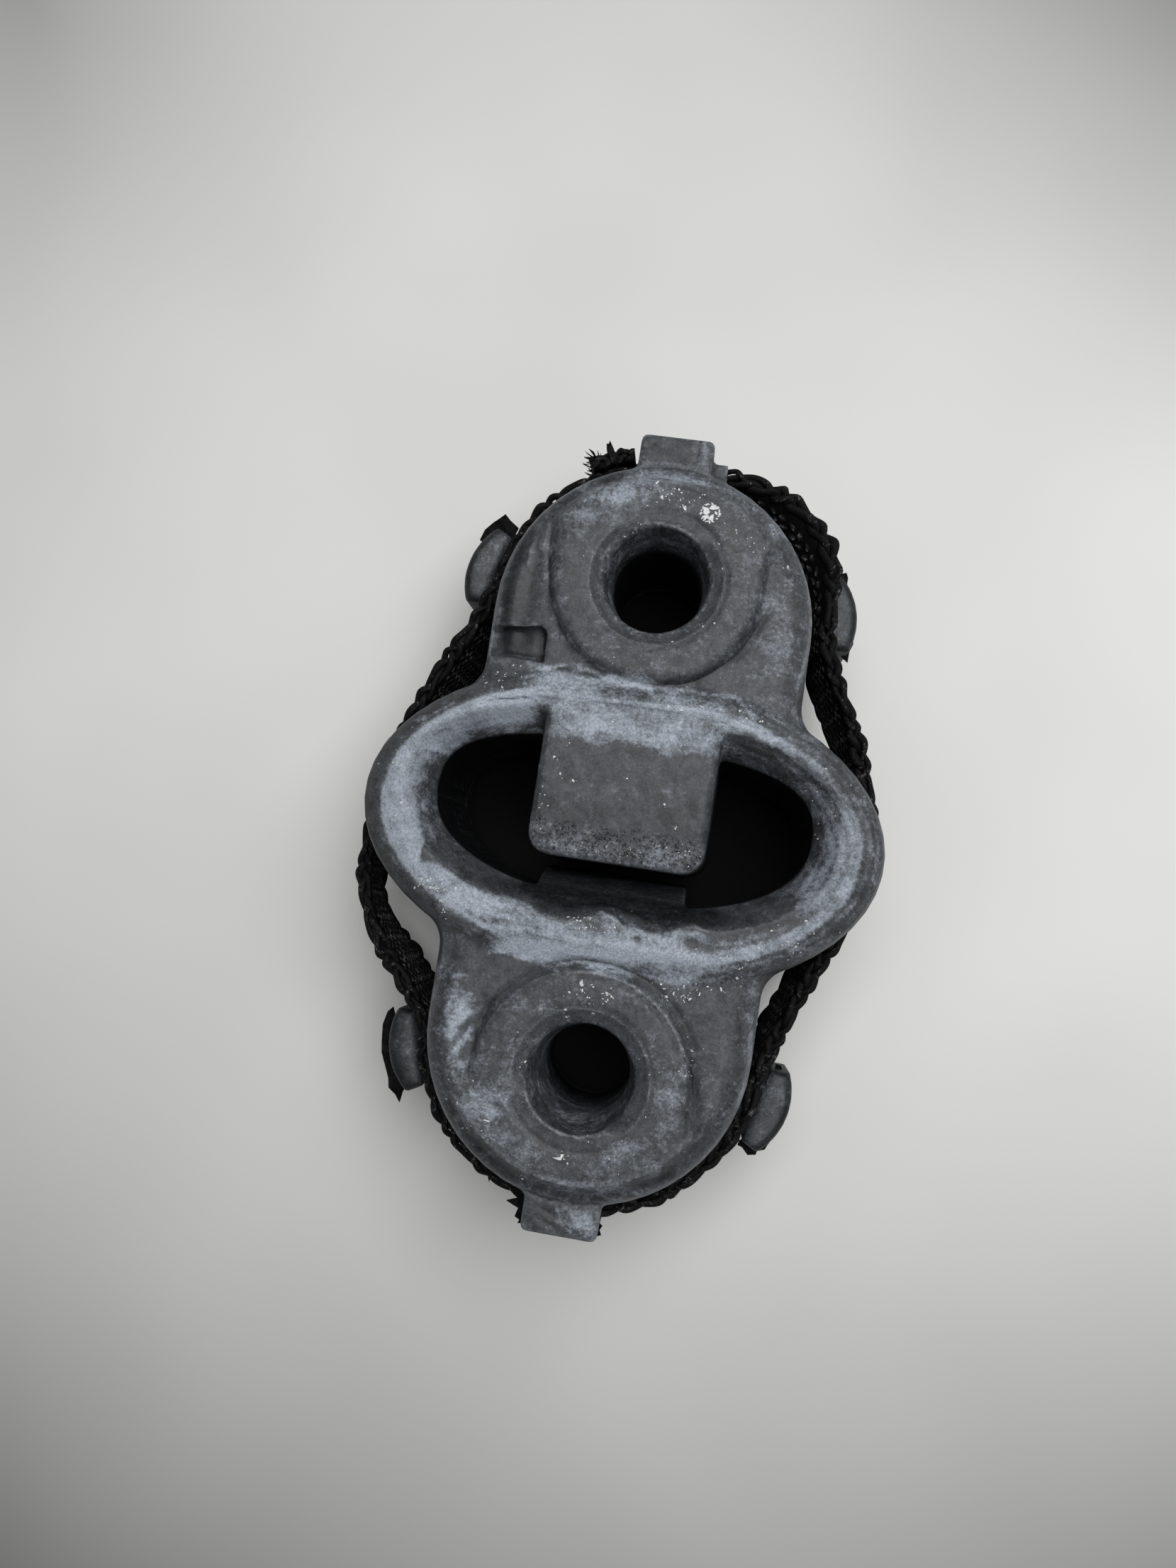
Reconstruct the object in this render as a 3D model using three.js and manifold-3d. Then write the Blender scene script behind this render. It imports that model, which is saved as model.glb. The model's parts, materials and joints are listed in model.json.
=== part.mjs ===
// Exhaust hanger rubber with its woven retaining strap, lying flat on its rear faces.
// Millimetres, +Z up along the two bores, +Y towards the lobe that carries the pocket,
// +X to the right when the front face is seen from above.
import * as THREE from "three";
import { mergeVertices } from "three/addons/utils/BufferGeometryUtils.js";
import Module from "manifold-3d";

// Depth levels: the middle ring is the thickest part, the bosses and lobes step down from it
const DEPTH = 36;
const BOSS_STEP = 0.5;
const LOBE_STEP = 2;
const EDGE_ROUND = 3.4;

// Lobes and bores
const BORE_SPACING = 65;
const BORE_R = 6;
const LOBE_R = 21.3;
const END_LENGTH = 98.2;

// Funnel at each end of a bore
const FUNNEL_R = 9.1;
const FUNNEL_DEPTH = 1.7;
const LIP_R = 6.9;
const CONE_DEPTH = 9;

// Raised boss round each bore
const BOSS_R = 14;
const BOSS_SLOPE = 1.2;

// Middle ring: outer oval, crest and the waist fillets that join it to the lobes
const RING_HALF_WIDTH = 34.5;
const RING_HALF_HEIGHT = 21;
const RING_ROUND = 4;
const RING_ROUND_DEPTH = 4.5;
const WAIST_FILLET = 4.5;
const CREST_TOP = 16;
const CREST_BOTTOM = 15.4;
const SHOULDER_RUN = 3.2;
const CREST_SOFT = 0.7;

// Opening in the ring, measured at its parting edge
const OPENING_HALF_WIDTH = 25;
const OPENING_LEVEL = 1.5;
const OPENING_RISE = 9.6;
const OPENING_DROP = 11.6;
const RISE_POWER = 2.9;
const DROP_POWER = 2.2;
const FLARE = 3.1;
const FLARE_DEPTH = 5;
const FLARE_LEVELS = [0, 0.45, 1];
const FLARE_CURVE = 1.3;

// Two low bumps in the flared lower edge of the opening
const BUMPS = [
  { x: 0, reach: 3.6, height: 2.2 },
  { x: 11, reach: 3.4, height: 1.2 },
];

// Stop block that hangs into the opening, and the stop ridge below it
const BLOCK_HALF_WIDTH = 12.4;
const BLOCK_DRAFT = 1;
const BLOCK_END = -5.1;
const BLOCK_CORNER = 2.8;
const BLOCK_EDGE = 0.8;
const BLOCK_FLAT = 1;
const BLOCK_ROOT = 1;
const RIDGE_HALF_WIDTH = 9.9;
const STOP_GAP = 1.1;
const RIDGE_FOOT = 4.2;
const RIDGE_FULLNESS = 1.8;
const RIDGE_STEPS = 8;

// Mould pocket in the upper lobe
const POCKET = { width: 6.2, height: 4.2, depth: 1.8, x: -16.3, y: 22.4, corner: 1, slant: 0.63 };

// Woven strap, its groove and the play between it and the rubber
const STRAP_WIDTH = 18;
const STRAP_THICK = 2.2;
const STRAP_GAP = 0.35;
const GROOVE_HALF_WIDTH = 31.9;
const WEB_THICK = 1.7;
const SELVAGE = 2.4;
const PLAIT_PITCH = 2.35;
const PLAIT_WAIST = 0.82;
const LEAN_START = 0.76;
const LEAN_CURVE = 1.3;
const WAIST_LEAN = 0.9;
const BULGE = { lean: 4.1, angle: 0.74, spread: 0.42 };

// Free spans of the strap: play at the ring and slack (or tightness, below 0) towards each lobe
const RIGHT_SIDE = { ringPlay: 0, upperSlack: 0, lowerSlack: -1.9 };
const LEFT_SIDE = { ringPlay: 0.9, upperSlack: -1, lowerSlack: 2.6 };
const SLACK_REACH = 0.85;
const LOBE_LEAVE = 6;

// End tabs that the strap passes through, and the rib beside the upper one
const TAB_HALF_WIDTH = 5;
const TAB_REACH = 4;
const TAB_STEP = 4;
const TAB_CORNER = 0.8;
const TAB_ROOT = 2.1;
const TAB_EDGE = 0.4;
const RIB = { width: 2.1, height: 1.3, thick: 3.4 };

// Four studs at an angle (degrees) past each lobe's widest level: a neck through the strap
// and a domed head outside it
const STUD_ANGLE = 15;
const HEAD_LENGTH = 11.6;
const HEAD_HEIGHT = 10.5;
const HEAD_THICK = 4.4;
const HEAD_DOME = 1.9;
const HEAD_EDGE = 1;
const HEAD_END = 0.6;
const NECK_LENGTH = 6;
const NECK_HEIGHT = 7;

const ROUND_STEPS = 2;
const OUTLINE_STEP = 2.8;
const TURN_SEGMENTS = 30;
const OVAL_POINTS = 52;
const OPENING_POINTS = 66;
const OPENING_SAMPLES = 3 * OPENING_POINTS;
const SPAN_POINTS = 5;
const ARC_POINTS = 12;
const ROOM_STATIONS = 90;
const ROUTE_DIVISIONS = 2000;
const TOUCH_STEP = Math.PI / 1440;
const FILLET_HALVINGS = 40;
const ROOM_SHARE = 0.8;
const PASS = 2;

const MID = DEPTH / 2;
const BORE_Y = BORE_SPACING / 2;
const LOBE_Y = END_LENGTH / 2 - LOBE_R;
const STRAP_HIGH = MID + STRAP_WIDTH / 2;
const STRAP_OFF = STRAP_GAP + STRAP_THICK / 2;
const STRAP_R = LOBE_R + STRAP_OFF;
const STRAP_CLEAR = STRAP_HIGH + STRAP_GAP;
const CHEEK = DEPTH - LOBE_STEP - STRAP_CLEAR;
const CHEEK_ROUND = Math.min(EDGE_ROUND, CHEEK * 0.48);

const wasm = await Module();
wasm.setup();

// A geometry as a solid: only its positions, with shared corners merged.
function solid(geometry) {
  const bare = new THREE.BufferGeometry();
  bare.setAttribute("position", geometry.getAttribute("position").clone());
  if (geometry.index) bare.setIndex(geometry.index.clone());
  const merged = mergeVertices(bare, 1e-4);
  const corners = merged.index.array;
  const kept = [];
  for (let i = 0; i < corners.length; i += 3) {
    const [a, b, c] = [corners[i], corners[i + 1], corners[i + 2]];
    if (a !== b && b !== c && c !== a) kept.push(a, b, c);
  }
  return new wasm.Manifold(new wasm.Mesh({
    numProp: 3,
    vertProperties: new Float32Array(merged.getAttribute("position").array),
    triVerts: new Uint32Array(kept),
  }));
}

// A solid's surface as a flat-shaded three.js geometry.
function surface(shape) {
  const mesh = shape.getMesh();
  const geometry = new THREE.BufferGeometry();
  geometry.setAttribute("position", new THREE.BufferAttribute(mesh.vertProperties, 3));
  geometry.setIndex(new THREE.BufferAttribute(mesh.triVerts, 1));
  geometry.computeVertexNormals();
  return geometry;
}

function addAll(shapes) {
  return shapes.reduce((joined, shape) => joined.add(shape));
}

function cutAll(shape, cutters) {
  return cutters.reduce((left, cutter) => left.subtract(cutter), shape);
}

// Points on an arc, both ends included.
function arc(cx, cy, radius, from, to, step = OUTLINE_STEP) {
  const count = Math.max(2, Math.ceil((Math.abs(to - from) * radius) / step));
  return Array.from({ length: count + 1 }, (_, i) => {
    const angle = from + ((to - from) * i) / count;
    return new THREE.Vector2(cx + radius * Math.cos(angle), cy + radius * Math.sin(angle));
  });
}

// A plate from an outline, with both faces rounded inside its own thickness.
function plate(points, low, high, round = 0, steps = ROUND_STEPS) {
  const geometry = new THREE.ExtrudeGeometry(new THREE.Shape(points), {
    depth: high - low - 2 * round,
    steps: 1,
    bevelEnabled: round > 0,
    bevelThickness: round,
    bevelSize: round,
    bevelOffset: -round,
    bevelSegments: steps,
  });
  return solid(geometry.translate(0, 0, low + round));
}

// A solid skin over rings of equally many points, each ring at its own height.
function loft(rings) {
  const count = rings[0].points.length;
  const positions = rings.flatMap(({ points, z }) => points.flatMap((p) => [p.x, p.y, z]));
  const index = [];
  for (let level = 0; level + 1 < rings.length; level += 1) {
    for (let i = 0; i < count; i += 1) {
      const [a, b] = [level * count + i, level * count + ((i + 1) % count)];
      index.push(a, b, b + count, a, b + count, a + count);
    }
  }
  const top = (rings.length - 1) * count;
  for (const [a, b, c] of THREE.ShapeUtils.triangulateShape(rings[0].points, [])) index.push(a, c, b);
  for (const [a, b, c] of THREE.ShapeUtils.triangulateShape(rings.at(-1).points, [])) {
    index.push(top + a, top + b, top + c);
  }
  const geometry = new THREE.BufferGeometry();
  geometry.setAttribute("position", new THREE.Float32BufferAttribute(positions, 3));
  geometry.setIndex(index);
  return solid(geometry);
}

// The same rings on the front half and, mirrored, on the rear half.
function bothHalves(rings) {
  return loft([...rings.map(({ points, z }) => ({ points, z: DEPTH - z })), ...rings.toReversed()]);
}

function mirrorFrontToRear(shape) {
  return shape.rotate([180, 0, 0]).translate([0, 0, DEPTH]).mirror([0, 1, 0]);
}

// Height of the waist fillet's centre over the middle, and where it touches the oval.
function waistFillet(halfWidth, halfHeight) {
  const x = LOBE_R + WAIST_FILLET;
  const nearest = (y) => {
    let best = { gap: Infinity, turn: 0 };
    for (let turn = 0; turn <= Math.PI / 2; turn += TOUCH_STEP) {
      const gap = Math.hypot(x - halfWidth * Math.cos(turn), y - halfHeight * Math.sin(turn));
      if (gap < best.gap) best = { gap, turn };
    }
    return best;
  };
  let [low, high] = [0, halfHeight + 2 * WAIST_FILLET];
  for (let i = 0; i < FILLET_HALVINGS; i += 1) {
    const y = (low + high) / 2;
    const ovalY = halfHeight * Math.sqrt(Math.max(0, 1 - (x / halfWidth) ** 2));
    if (y > ovalY && nearest(y).gap > WAIST_FILLET) high = y;
    else low = y;
  }
  return { x, y: high, turn: nearest(high).turn };
}

// Outline of lobes and ring, clockwise from the upper end, for a ring of the given oval.
function bodyOutline(halfWidth, halfHeight) {
  const fillet = waistFillet(halfWidth, halfHeight);
  const touch = Math.atan2(
    halfHeight * Math.sin(fillet.turn) - fillet.y,
    halfWidth * Math.cos(fillet.turn) - fillet.x,
  );
  const oval = [];
  const steps = Math.ceil((fillet.turn * (halfWidth + halfHeight)) / 2 / OUTLINE_STEP);
  for (let i = 1; i <= steps; i += 1) {
    const turn = fillet.turn * (1 - i / steps);
    oval.push(new THREE.Vector2(halfWidth * Math.cos(turn), halfHeight * Math.sin(turn)));
  }
  const quarter = [
    ...arc(0, LOBE_Y, LOBE_R, Math.PI / 2, 0),
    ...arc(fillet.x, fillet.y, WAIST_FILLET, Math.PI, 2 * Math.PI + touch, 1),
    ...oval,
  ];
  const lower = quarter.slice(0, -1).map((p) => new THREE.Vector2(p.x, -p.y));
  const right = [...quarter, ...lower.toReversed()];
  const left = right.slice(1, -1).map((p) => new THREE.Vector2(-p.x, p.y));
  return [...right, ...left.toReversed()].toReversed();
}

// Core inside the strap, with a rounded cheek in front of the groove and another behind it.
function bodySlab() {
  const grooveHeight = (RING_HALF_HEIGHT * GROOVE_HALF_WIDTH) / RING_HALF_WIDTH;
  const inner = LOBE_STEP + CHEEK_ROUND;
  const core = plate(bodyOutline(GROOVE_HALF_WIDTH, grooveHeight), inner, DEPTH - inner);
  const outline = bodyOutline(RING_HALF_WIDTH, RING_HALF_HEIGHT);
  const cheek = plate(outline, STRAP_CLEAR, DEPTH - LOBE_STEP, CHEEK_ROUND);
  return addAll([core, cheek, mirrorFrontToRear(cheek)]).subtract(strapRoom());
}

// One ring of the raised middle: an oval drawn in by an inset and cut off above and below.
function middleRing(inset, top, bottom) {
  return Array.from({ length: OVAL_POINTS }, (_, i) => {
    const turn = (2 * Math.PI * (i + 0.5)) / OVAL_POINTS;
    const y = (RING_HALF_HEIGHT - inset) * Math.sin(turn);
    const x = (RING_HALF_WIDTH - inset) * Math.cos(turn);
    return new THREE.Vector2(x, THREE.MathUtils.clamp(y, -bottom, top));
  });
}

// Raised middle part with its rounded crest and the shoulders down to the lobes.
function middle() {
  const rings = [0, CREST_SOFT, LOBE_STEP, RING_ROUND_DEPTH].map((drop) => {
    const rise = 1 - drop / RING_ROUND_DEPTH;
    const inset = RING_ROUND * (1 - Math.sqrt(1 - rise ** 2));
    const shoulder = SHOULDER_RUN * Math.min(1, drop / LOBE_STEP);
    return { points: middleRing(inset, CREST_TOP + shoulder, CREST_BOTTOM + shoulder), z: DEPTH - drop };
  });
  const base = { points: rings.at(-1).points, z: STRAP_CLEAR + CHEEK / 4 };
  const band = loft([base, ...rings.toReversed()]);
  return addAll([band, mirrorFrontToRear(band)]);
}

// Boss outline: round towards the middle, straight at the sides, merging with the lobe's end.
function bossOutline(side) {
  const endR = LOBE_R - CHEEK_ROUND;
  const meetY = LOBE_Y + Math.sqrt(endR ** 2 - BOSS_R ** 2);
  const meet = Math.atan2(meetY - LOBE_Y, BOSS_R);
  const points = [
    ...arc(0, BORE_Y, BOSS_R, Math.PI, 2 * Math.PI),
    ...arc(0, LOBE_Y, endR, meet, Math.PI - meet),
  ];
  const placed = points.map((p) => new THREE.Vector2(p.x, side * p.y));
  return side > 0 ? placed : placed.toReversed();
}

function bosses() {
  return [1, -1].map((side) =>
    plate(bossOutline(side), BOSS_STEP, DEPTH - BOSS_STEP, BOSS_SLOPE));
}

// Bore with a straight middle, a long cone and a shallow funnel at each end.
function boreCutters() {
  const face = MID - BOSS_STEP;
  const half = [
    [BORE_R, face - CONE_DEPTH],
    [LIP_R, face - FUNNEL_DEPTH],
    [FUNNEL_R, face],
    [FUNNEL_R, face + PASS],
  ].map(([r, z]) => new THREE.Vector2(r, z));
  const profile = [
    new THREE.Vector2(0, -face - PASS),
    ...half.toReversed().map((p) => new THREE.Vector2(p.x, -p.y)),
    ...half,
    new THREE.Vector2(0, face + PASS),
  ];
  return [1, -1].map((side) => {
    const lathe = new THREE.LatheGeometry(profile, TURN_SEGMENTS).rotateX(Math.PI / 2);
    return solid(lathe.translate(0, side * BORE_Y, MID));
  });
}

// One ring of the opening: two half superellipses with a common widest level.
function openingRing(grow, bumpShare) {
  const dense = Array.from({ length: OPENING_SAMPLES }, (_, i) => {
    const turn = (2 * Math.PI * i) / OPENING_SAMPLES;
    const [c, s] = [Math.cos(turn), Math.sin(turn)];
    const power = s >= 0 ? RISE_POWER : DROP_POWER;
    const reach = (s >= 0 ? OPENING_RISE : OPENING_DROP) + grow;
    const x = (OPENING_HALF_WIDTH + grow) * Math.sign(c) * Math.abs(c) ** (2 / power);
    const y = OPENING_LEVEL + reach * Math.sign(s) * Math.abs(s) ** (2 / power);
    const bump = s < 0 ? bumpShare * bumpHeight(x) : 0;
    return new THREE.Vector3(x, y + bump, 0);
  });
  const closed = new THREE.CatmullRomCurve3(dense, true);
  return closed.getSpacedPoints(OPENING_POINTS).slice(0, -1);
}

function bumpHeight(x) {
  return BUMPS.reduce((sum, bump) => {
    const share = Math.abs(x - bump.x) / bump.reach;
    return share < 1 ? sum + (bump.height * (1 + Math.cos(Math.PI * share))) / 2 : sum;
  }, 0);
}

// Through opening, straight in the middle and flared towards both faces.
function openingCutter() {
  const front = FLARE_LEVELS.map((share) => ({
    points: openingRing(FLARE * share ** FLARE_CURVE, share),
    z: DEPTH - FLARE_DEPTH * (1 - share),
  }));
  const out = { points: front.at(-1).points, z: DEPTH + PASS };
  return bothHalves([out, ...front.toReversed()]);
}

function roundedBox(halfWidth, low, high, corner) {
  return [
    ...arc(-halfWidth + corner, low + corner, corner, Math.PI, 1.5 * Math.PI, corner / 2),
    ...arc(halfWidth - corner, low + corner, corner, 1.5 * Math.PI, 2 * Math.PI, corner / 2),
    new THREE.Vector2(halfWidth, high),
    new THREE.Vector2(-halfWidth, high),
  ];
}

// Upper stop: a drafted block, widest at mid-depth, with softened edges.
function stopBlock() {
  const ring = (inset, z) => {
    const draft = (BLOCK_DRAFT * (z - MID)) / MID;
    const half = BLOCK_HALF_WIDTH - draft - inset;
    return { points: roundedBox(half, BLOCK_END + inset, CREST_TOP - BLOCK_ROOT, BLOCK_CORNER), z };
  };
  return bothHalves([
    ring(BLOCK_EDGE, DEPTH),
    ring(BLOCK_EDGE / 4, DEPTH - BLOCK_EDGE / 2),
    ring(0, DEPTH - BLOCK_EDGE),
    ring(0, MID + BLOCK_FLAT),
  ]);
}

// Lower stop: a ridge across the opening, highest at mid-depth.
function stopRidge() {
  const crest = BLOCK_END - STOP_GAP;
  const foot = OPENING_LEVEL - OPENING_DROP;
  const half = MID - RIDGE_FOOT;
  const points = [new THREE.Vector2(-half, foot - FLARE)];
  for (let i = 0; i <= RIDGE_STEPS; i += 1) {
    const z = -half + (2 * half * i) / RIDGE_STEPS;
    points.push(new THREE.Vector2(z, foot + (crest - foot) * (1 - Math.abs(z / half) ** RIDGE_FULLNESS)));
  }
  points.push(new THREE.Vector2(half, foot - FLARE));
  const ridge = new THREE.ExtrudeGeometry(new THREE.Shape(points.toReversed()), {
    depth: 2 * RIDGE_HALF_WIDTH,
    bevelEnabled: false,
  });
  ridge.translate(0, 0, -RIDGE_HALF_WIDTH).rotateY(-Math.PI / 2);
  return solid(ridge.translate(0, 0, MID));
}

function pocketCutter() {
  const { width, height, depth, x, y, corner, slant } = POCKET;
  const [w, h] = [width / 2, height / 2];
  const points = [
    ...arc(w - corner, -h + corner, corner, -Math.PI / 2, 0, corner / 2),
    ...arc(w - corner, h - corner, corner, 0, Math.PI / 2, corner / 2),
    new THREE.Vector2(-w, h - slant),
    new THREE.Vector2(-w, -h),
  ];
  return plate(points, DEPTH - LOBE_STEP - depth, DEPTH + PASS).translate([x, y, 0]);
}

// End tab: a drafted block on the lobe's end, with a passage that the strap runs through.
function tab(side) {
  const root = LOBE_Y + LOBE_R - TAB_ROOT;
  const end = LOBE_Y + LOBE_R + TAB_REACH;
  const [cornerX, cornerY] = [TAB_HALF_WIDTH - TAB_CORNER, end - TAB_CORNER];
  const points = [
    new THREE.Vector2(-TAB_HALF_WIDTH, root),
    new THREE.Vector2(TAB_HALF_WIDTH, root),
    ...arc(cornerX, cornerY, TAB_CORNER, 0, Math.PI / 2, TAB_CORNER / 2),
    ...arc(-cornerX, cornerY, TAB_CORNER, Math.PI / 2, Math.PI, TAB_CORNER / 2),
  ];
  const placed = points.map((p) => new THREE.Vector2(p.x, side * p.y));
  const outline = side > 0 ? placed : placed.toReversed();
  return plate(outline, TAB_STEP, DEPTH - TAB_STEP, TAB_EDGE, 1).subtract(strapPassage(side));
}

// The space of the strap round a lobe's end, with its play on every side.
function strapPassage(side) {
  const [inner, outer] = [LOBE_R, STRAP_R + STRAP_OFF];
  const [low, high] = [-STRAP_WIDTH / 2 - STRAP_GAP, STRAP_WIDTH / 2 + STRAP_GAP];
  const section = [
    new THREE.Vector2(inner, low),
    new THREE.Vector2(outer, low),
    new THREE.Vector2(outer, high),
    new THREE.Vector2(inner, high),
    new THREE.Vector2(inner, low),
  ];
  const turned = new THREE.LatheGeometry(section, 2 * TURN_SEGMENTS).rotateX(Math.PI / 2);
  turned.translate(0, 0, MID);
  return solid(turned.translate(0, side * LOBE_Y, 0));
}

// Guide rib in front of the strap, beside the upper tab.
function guideRib() {
  const top = LOBE_Y + LOBE_R + RIB.height;
  const root = LOBE_Y + LOBE_R - 2 * TAB_ROOT;
  const right = TAB_HALF_WIDTH + RIB.width;
  const geometry = new THREE.BoxGeometry(right, top - root, RIB.thick);
  return solid(geometry.translate(right / 2, (top + root) / 2, STRAP_CLEAR + RIB.thick / 2));
}

// Stud head seen along Z: flat towards the strap and bowed outwards.
function studHead() {
  const half = HEAD_LENGTH / 2;
  const low = STRAP_R + STRAP_OFF;
  const bow = (half ** 2 + HEAD_DOME ** 2) / (2 * HEAD_DOME);
  const sweep = Math.asin(half / bow);
  const points = [
    new THREE.Vector2(low, half - HEAD_END),
    new THREE.Vector2(low, -half + HEAD_END),
    ...arc(low + HEAD_THICK - bow, 0, bow, -sweep, sweep, 2),
  ];
  return plate(points, MID - HEAD_HEIGHT / 2, MID + HEAD_HEIGHT / 2, HEAD_EDGE, ROUND_STEPS);
}

function neck(play) {
  const low = LOBE_R - PASS;
  const high = STRAP_R + STRAP_OFF + HEAD_THICK / 2;
  const box = new THREE.BoxGeometry(high - low, NECK_LENGTH + 2 * play, NECK_HEIGHT + 2 * play);
  return solid(box.translate((low + high) / 2, 0, MID));
}

// A shape drawn outwards along +X, placed at each of the four studs.
function atStuds(shape) {
  const places = [[STUD_ANGLE, 1], [180 - STUD_ANGLE, 1], [180 + STUD_ANGLE, -1], [-STUD_ANGLE, -1]];
  return places.map(([angle, side]) => shape.rotate([0, 0, angle]).translate([0, side * LOBE_Y, 0]));
}

function rubberBody() {
  const shell = cutAll(addAll([bodySlab(), middle(), ...bosses()]), [openingCutter()]);
  const stops = [stopBlock(), stopRidge()];
  const trimmings = [tab(1), tab(-1), guideRib(), ...atStuds(studHead()), ...atStuds(neck(0))];
  return cutAll(addAll([shell, ...stops, ...trimmings]), [...boreCutters(), pocketCutter()]);
}

// Middle line of the strap round one lobe, counter-clockwise in degrees.
function lobeTurn(side, from, to) {
  return Array.from({ length: ARC_POINTS + 1 }, (_, i) => {
    const angle = THREE.MathUtils.degToRad(from + ((to - from) * i) / ARC_POINTS);
    return new THREE.Vector3(STRAP_R * Math.cos(angle), side * LOBE_Y + STRAP_R * Math.sin(angle), MID);
  });
}

// Free span from the ring's middle level to one lobe, bowed out or drawn in by its slack.
function freeSpan(ringPlay, slack) {
  const ringX = GROOVE_HALF_WIDTH + STRAP_OFF + ringPlay;
  return Array.from({ length: SPAN_POINTS }, (_, i) => {
    const share = 1 - (i + 0.5) / (SPAN_POINTS + 0.5);
    const sag = slack * Math.sin(Math.PI * Math.min(1, share / SLACK_REACH));
    const x = STRAP_R + (ringX - STRAP_R) * Math.sin((Math.PI * share) / 2) + sag;
    return new THREE.Vector3(x, LOBE_Y * (1 - share), MID);
  });
}

// Route of the strap's middle line: round each lobe, then free across the waists and the ring.
function strapRoute() {
  const place = (points, sx, sy) => points.map((p) => new THREE.Vector3(sx * p.x, sy * p.y, p.z));
  const rightUp = freeSpan(RIGHT_SIDE.ringPlay, RIGHT_SIDE.upperSlack);
  const rightDown = freeSpan(RIGHT_SIDE.ringPlay, RIGHT_SIDE.lowerSlack);
  const leftUp = freeSpan(LEFT_SIDE.ringPlay, LEFT_SIDE.upperSlack);
  const leftDown = freeSpan(LEFT_SIDE.ringPlay, LEFT_SIDE.lowerSlack);
  return new THREE.CatmullRomCurve3([
    ...lobeTurn(1, LOBE_LEAVE, 180 - LOBE_LEAVE),
    ...place(leftUp, -1, 1).toReversed(),
    ...place(leftDown, -1, -1),
    ...lobeTurn(-1, 180 + LOBE_LEAVE, 360 - LOBE_LEAVE),
    ...place(rightDown, 1, -1).toReversed(),
    ...place(rightUp, 1, 1),
  ], true);
}

// How far the strap's front edge leans away from the body at a place of the route.
function lean(place) {
  const turn = Math.atan2(place.y - LOBE_Y, place.x) - BULGE.angle;
  const bulge = BULGE.lean * Math.exp(-((turn / BULGE.spread) ** 2));
  const reach = LOBE_R / 2;
  const waist = WAIST_LEAN * Math.max(0, 1 - Math.abs(Math.abs(place.y) - RING_HALF_HEIGHT) / reach);
  return bulge + waist;
}

// A section carried along the whole route as one closed band, narrowed at every other station.
function band(section, stations) {
  const route = strapRoute();
  route.arcLengthDivisions = ROUTE_DIVISIONS;
  const positions = [];
  for (let i = 0; i < stations; i += 1) {
    const place = route.getPointAt(i / stations);
    const along = route.getTangentAt(i / stations);
    const tight = i % 2 ? PLAIT_WAIST : 1;
    for (const { across, height, selvage } of section) {
      const edge = Math.max(0, (height / STRAP_WIDTH + 0.5 - LEAN_START) / (1 - LEAN_START));
      const shift = across * (selvage ? tight : 1) + lean(place) * edge ** LEAN_CURVE;
      positions.push(place.x + along.y * shift, place.y - along.x * shift, MID + height);
    }
  }
  const count = section.length;
  const index = [];
  for (let i = 0; i < stations; i += 1) {
    const [here, next] = [i * count, ((i + 1) % stations) * count];
    for (let j = 0; j < count; j += 1) {
      const k = (j + 1) % count;
      index.push(here + j, next + k, here + k, here + j, next + j, next + k);
    }
  }
  const geometry = new THREE.BufferGeometry();
  geometry.setAttribute("position", new THREE.Float32BufferAttribute(positions, 3));
  geometry.setIndex(index);
  return solid(geometry);
}

// Woven strap: a flat web with a plaited selvage along both edges, slotted for the studs.
function strapBand() {
  const beads = Math.round(strapRoute().getLength() / PLAIT_PITCH);
  return cutAll(band(strapSection(), 2 * beads), atStuds(neck(STRAP_GAP)));
}

// The room that the strap needs beside the ring, with its play all round.
function strapRoom() {
  const [thick, half] = [STRAP_THICK / 2 + STRAP_GAP * ROOM_SHARE, STRAP_WIDTH / 2 + STRAP_GAP];
  const bend = STRAP_WIDTH * (LEAN_START - 0.5);
  const outer = [[thick, -half], [thick, bend], [thick, half]];
  const inner = outer.toReversed().map(([across, height]) => [-across, height]);
  const section = [...outer, ...inner].map(([across, height]) => ({ across, height, selvage: false }));
  return band(section, ROOM_STATIONS);
}

// Section of the strap: offsets outwards and heights about its middle line.
function strapSection() {
  const [thick, web, half] = [STRAP_THICK / 2, WEB_THICK / 2, STRAP_WIDTH / 2];
  const upper = [
    { across: web, height: half - SELVAGE, selvage: false },
    { across: thick, height: half - SELVAGE / 2, selvage: true },
    { across: 0, height: half, selvage: true },
  ];
  const across = upper.slice(0, 2).toReversed().map((p) => ({ ...p, across: -p.across }));
  const top = [...upper, ...across];
  const bottom = top.map((p) => ({ ...p, across: -p.across, height: -p.height }));
  return [...top, ...bottom];
}

function named(name, shape, colour, roughness) {
  const material = new THREE.MeshStandardMaterial({ color: colour, roughness, metalness: 0 });
  const mesh = new THREE.Mesh(surface(shape), material);
  mesh.name = name;
  return mesh;
}

const hanger = new THREE.Group();
hanger.add(named("rubber_body", rubberBody(), 0x6f7377, 0.85));
hanger.add(named("retaining_strap", strapBand(), 0x18181a, 0.9));

// The origin is the middle of the underside
const extent = new THREE.Box3().setFromObject(hanger);
const centre = extent.getCenter(new THREE.Vector3());
hanger.position.set(-centre.x, -centre.y, -extent.min.z);

export default hanger;
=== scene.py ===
"""Looks of an exhaust hanger rubber: a weathered moulding with a woven strap laid round it.

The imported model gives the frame. Lengths are written in millimetres and turned into metres
by MM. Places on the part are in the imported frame: +Z out of the front face, +Y towards the
lobe with the mould pocket.
"""

import json
import logging
import math
import random
from dataclasses import dataclass, field
from enum import Enum

import bmesh
import bpy
import numpy as np
from mathutils import Matrix, Vector
from mathutils.bvhtree import BVHTree

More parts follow.
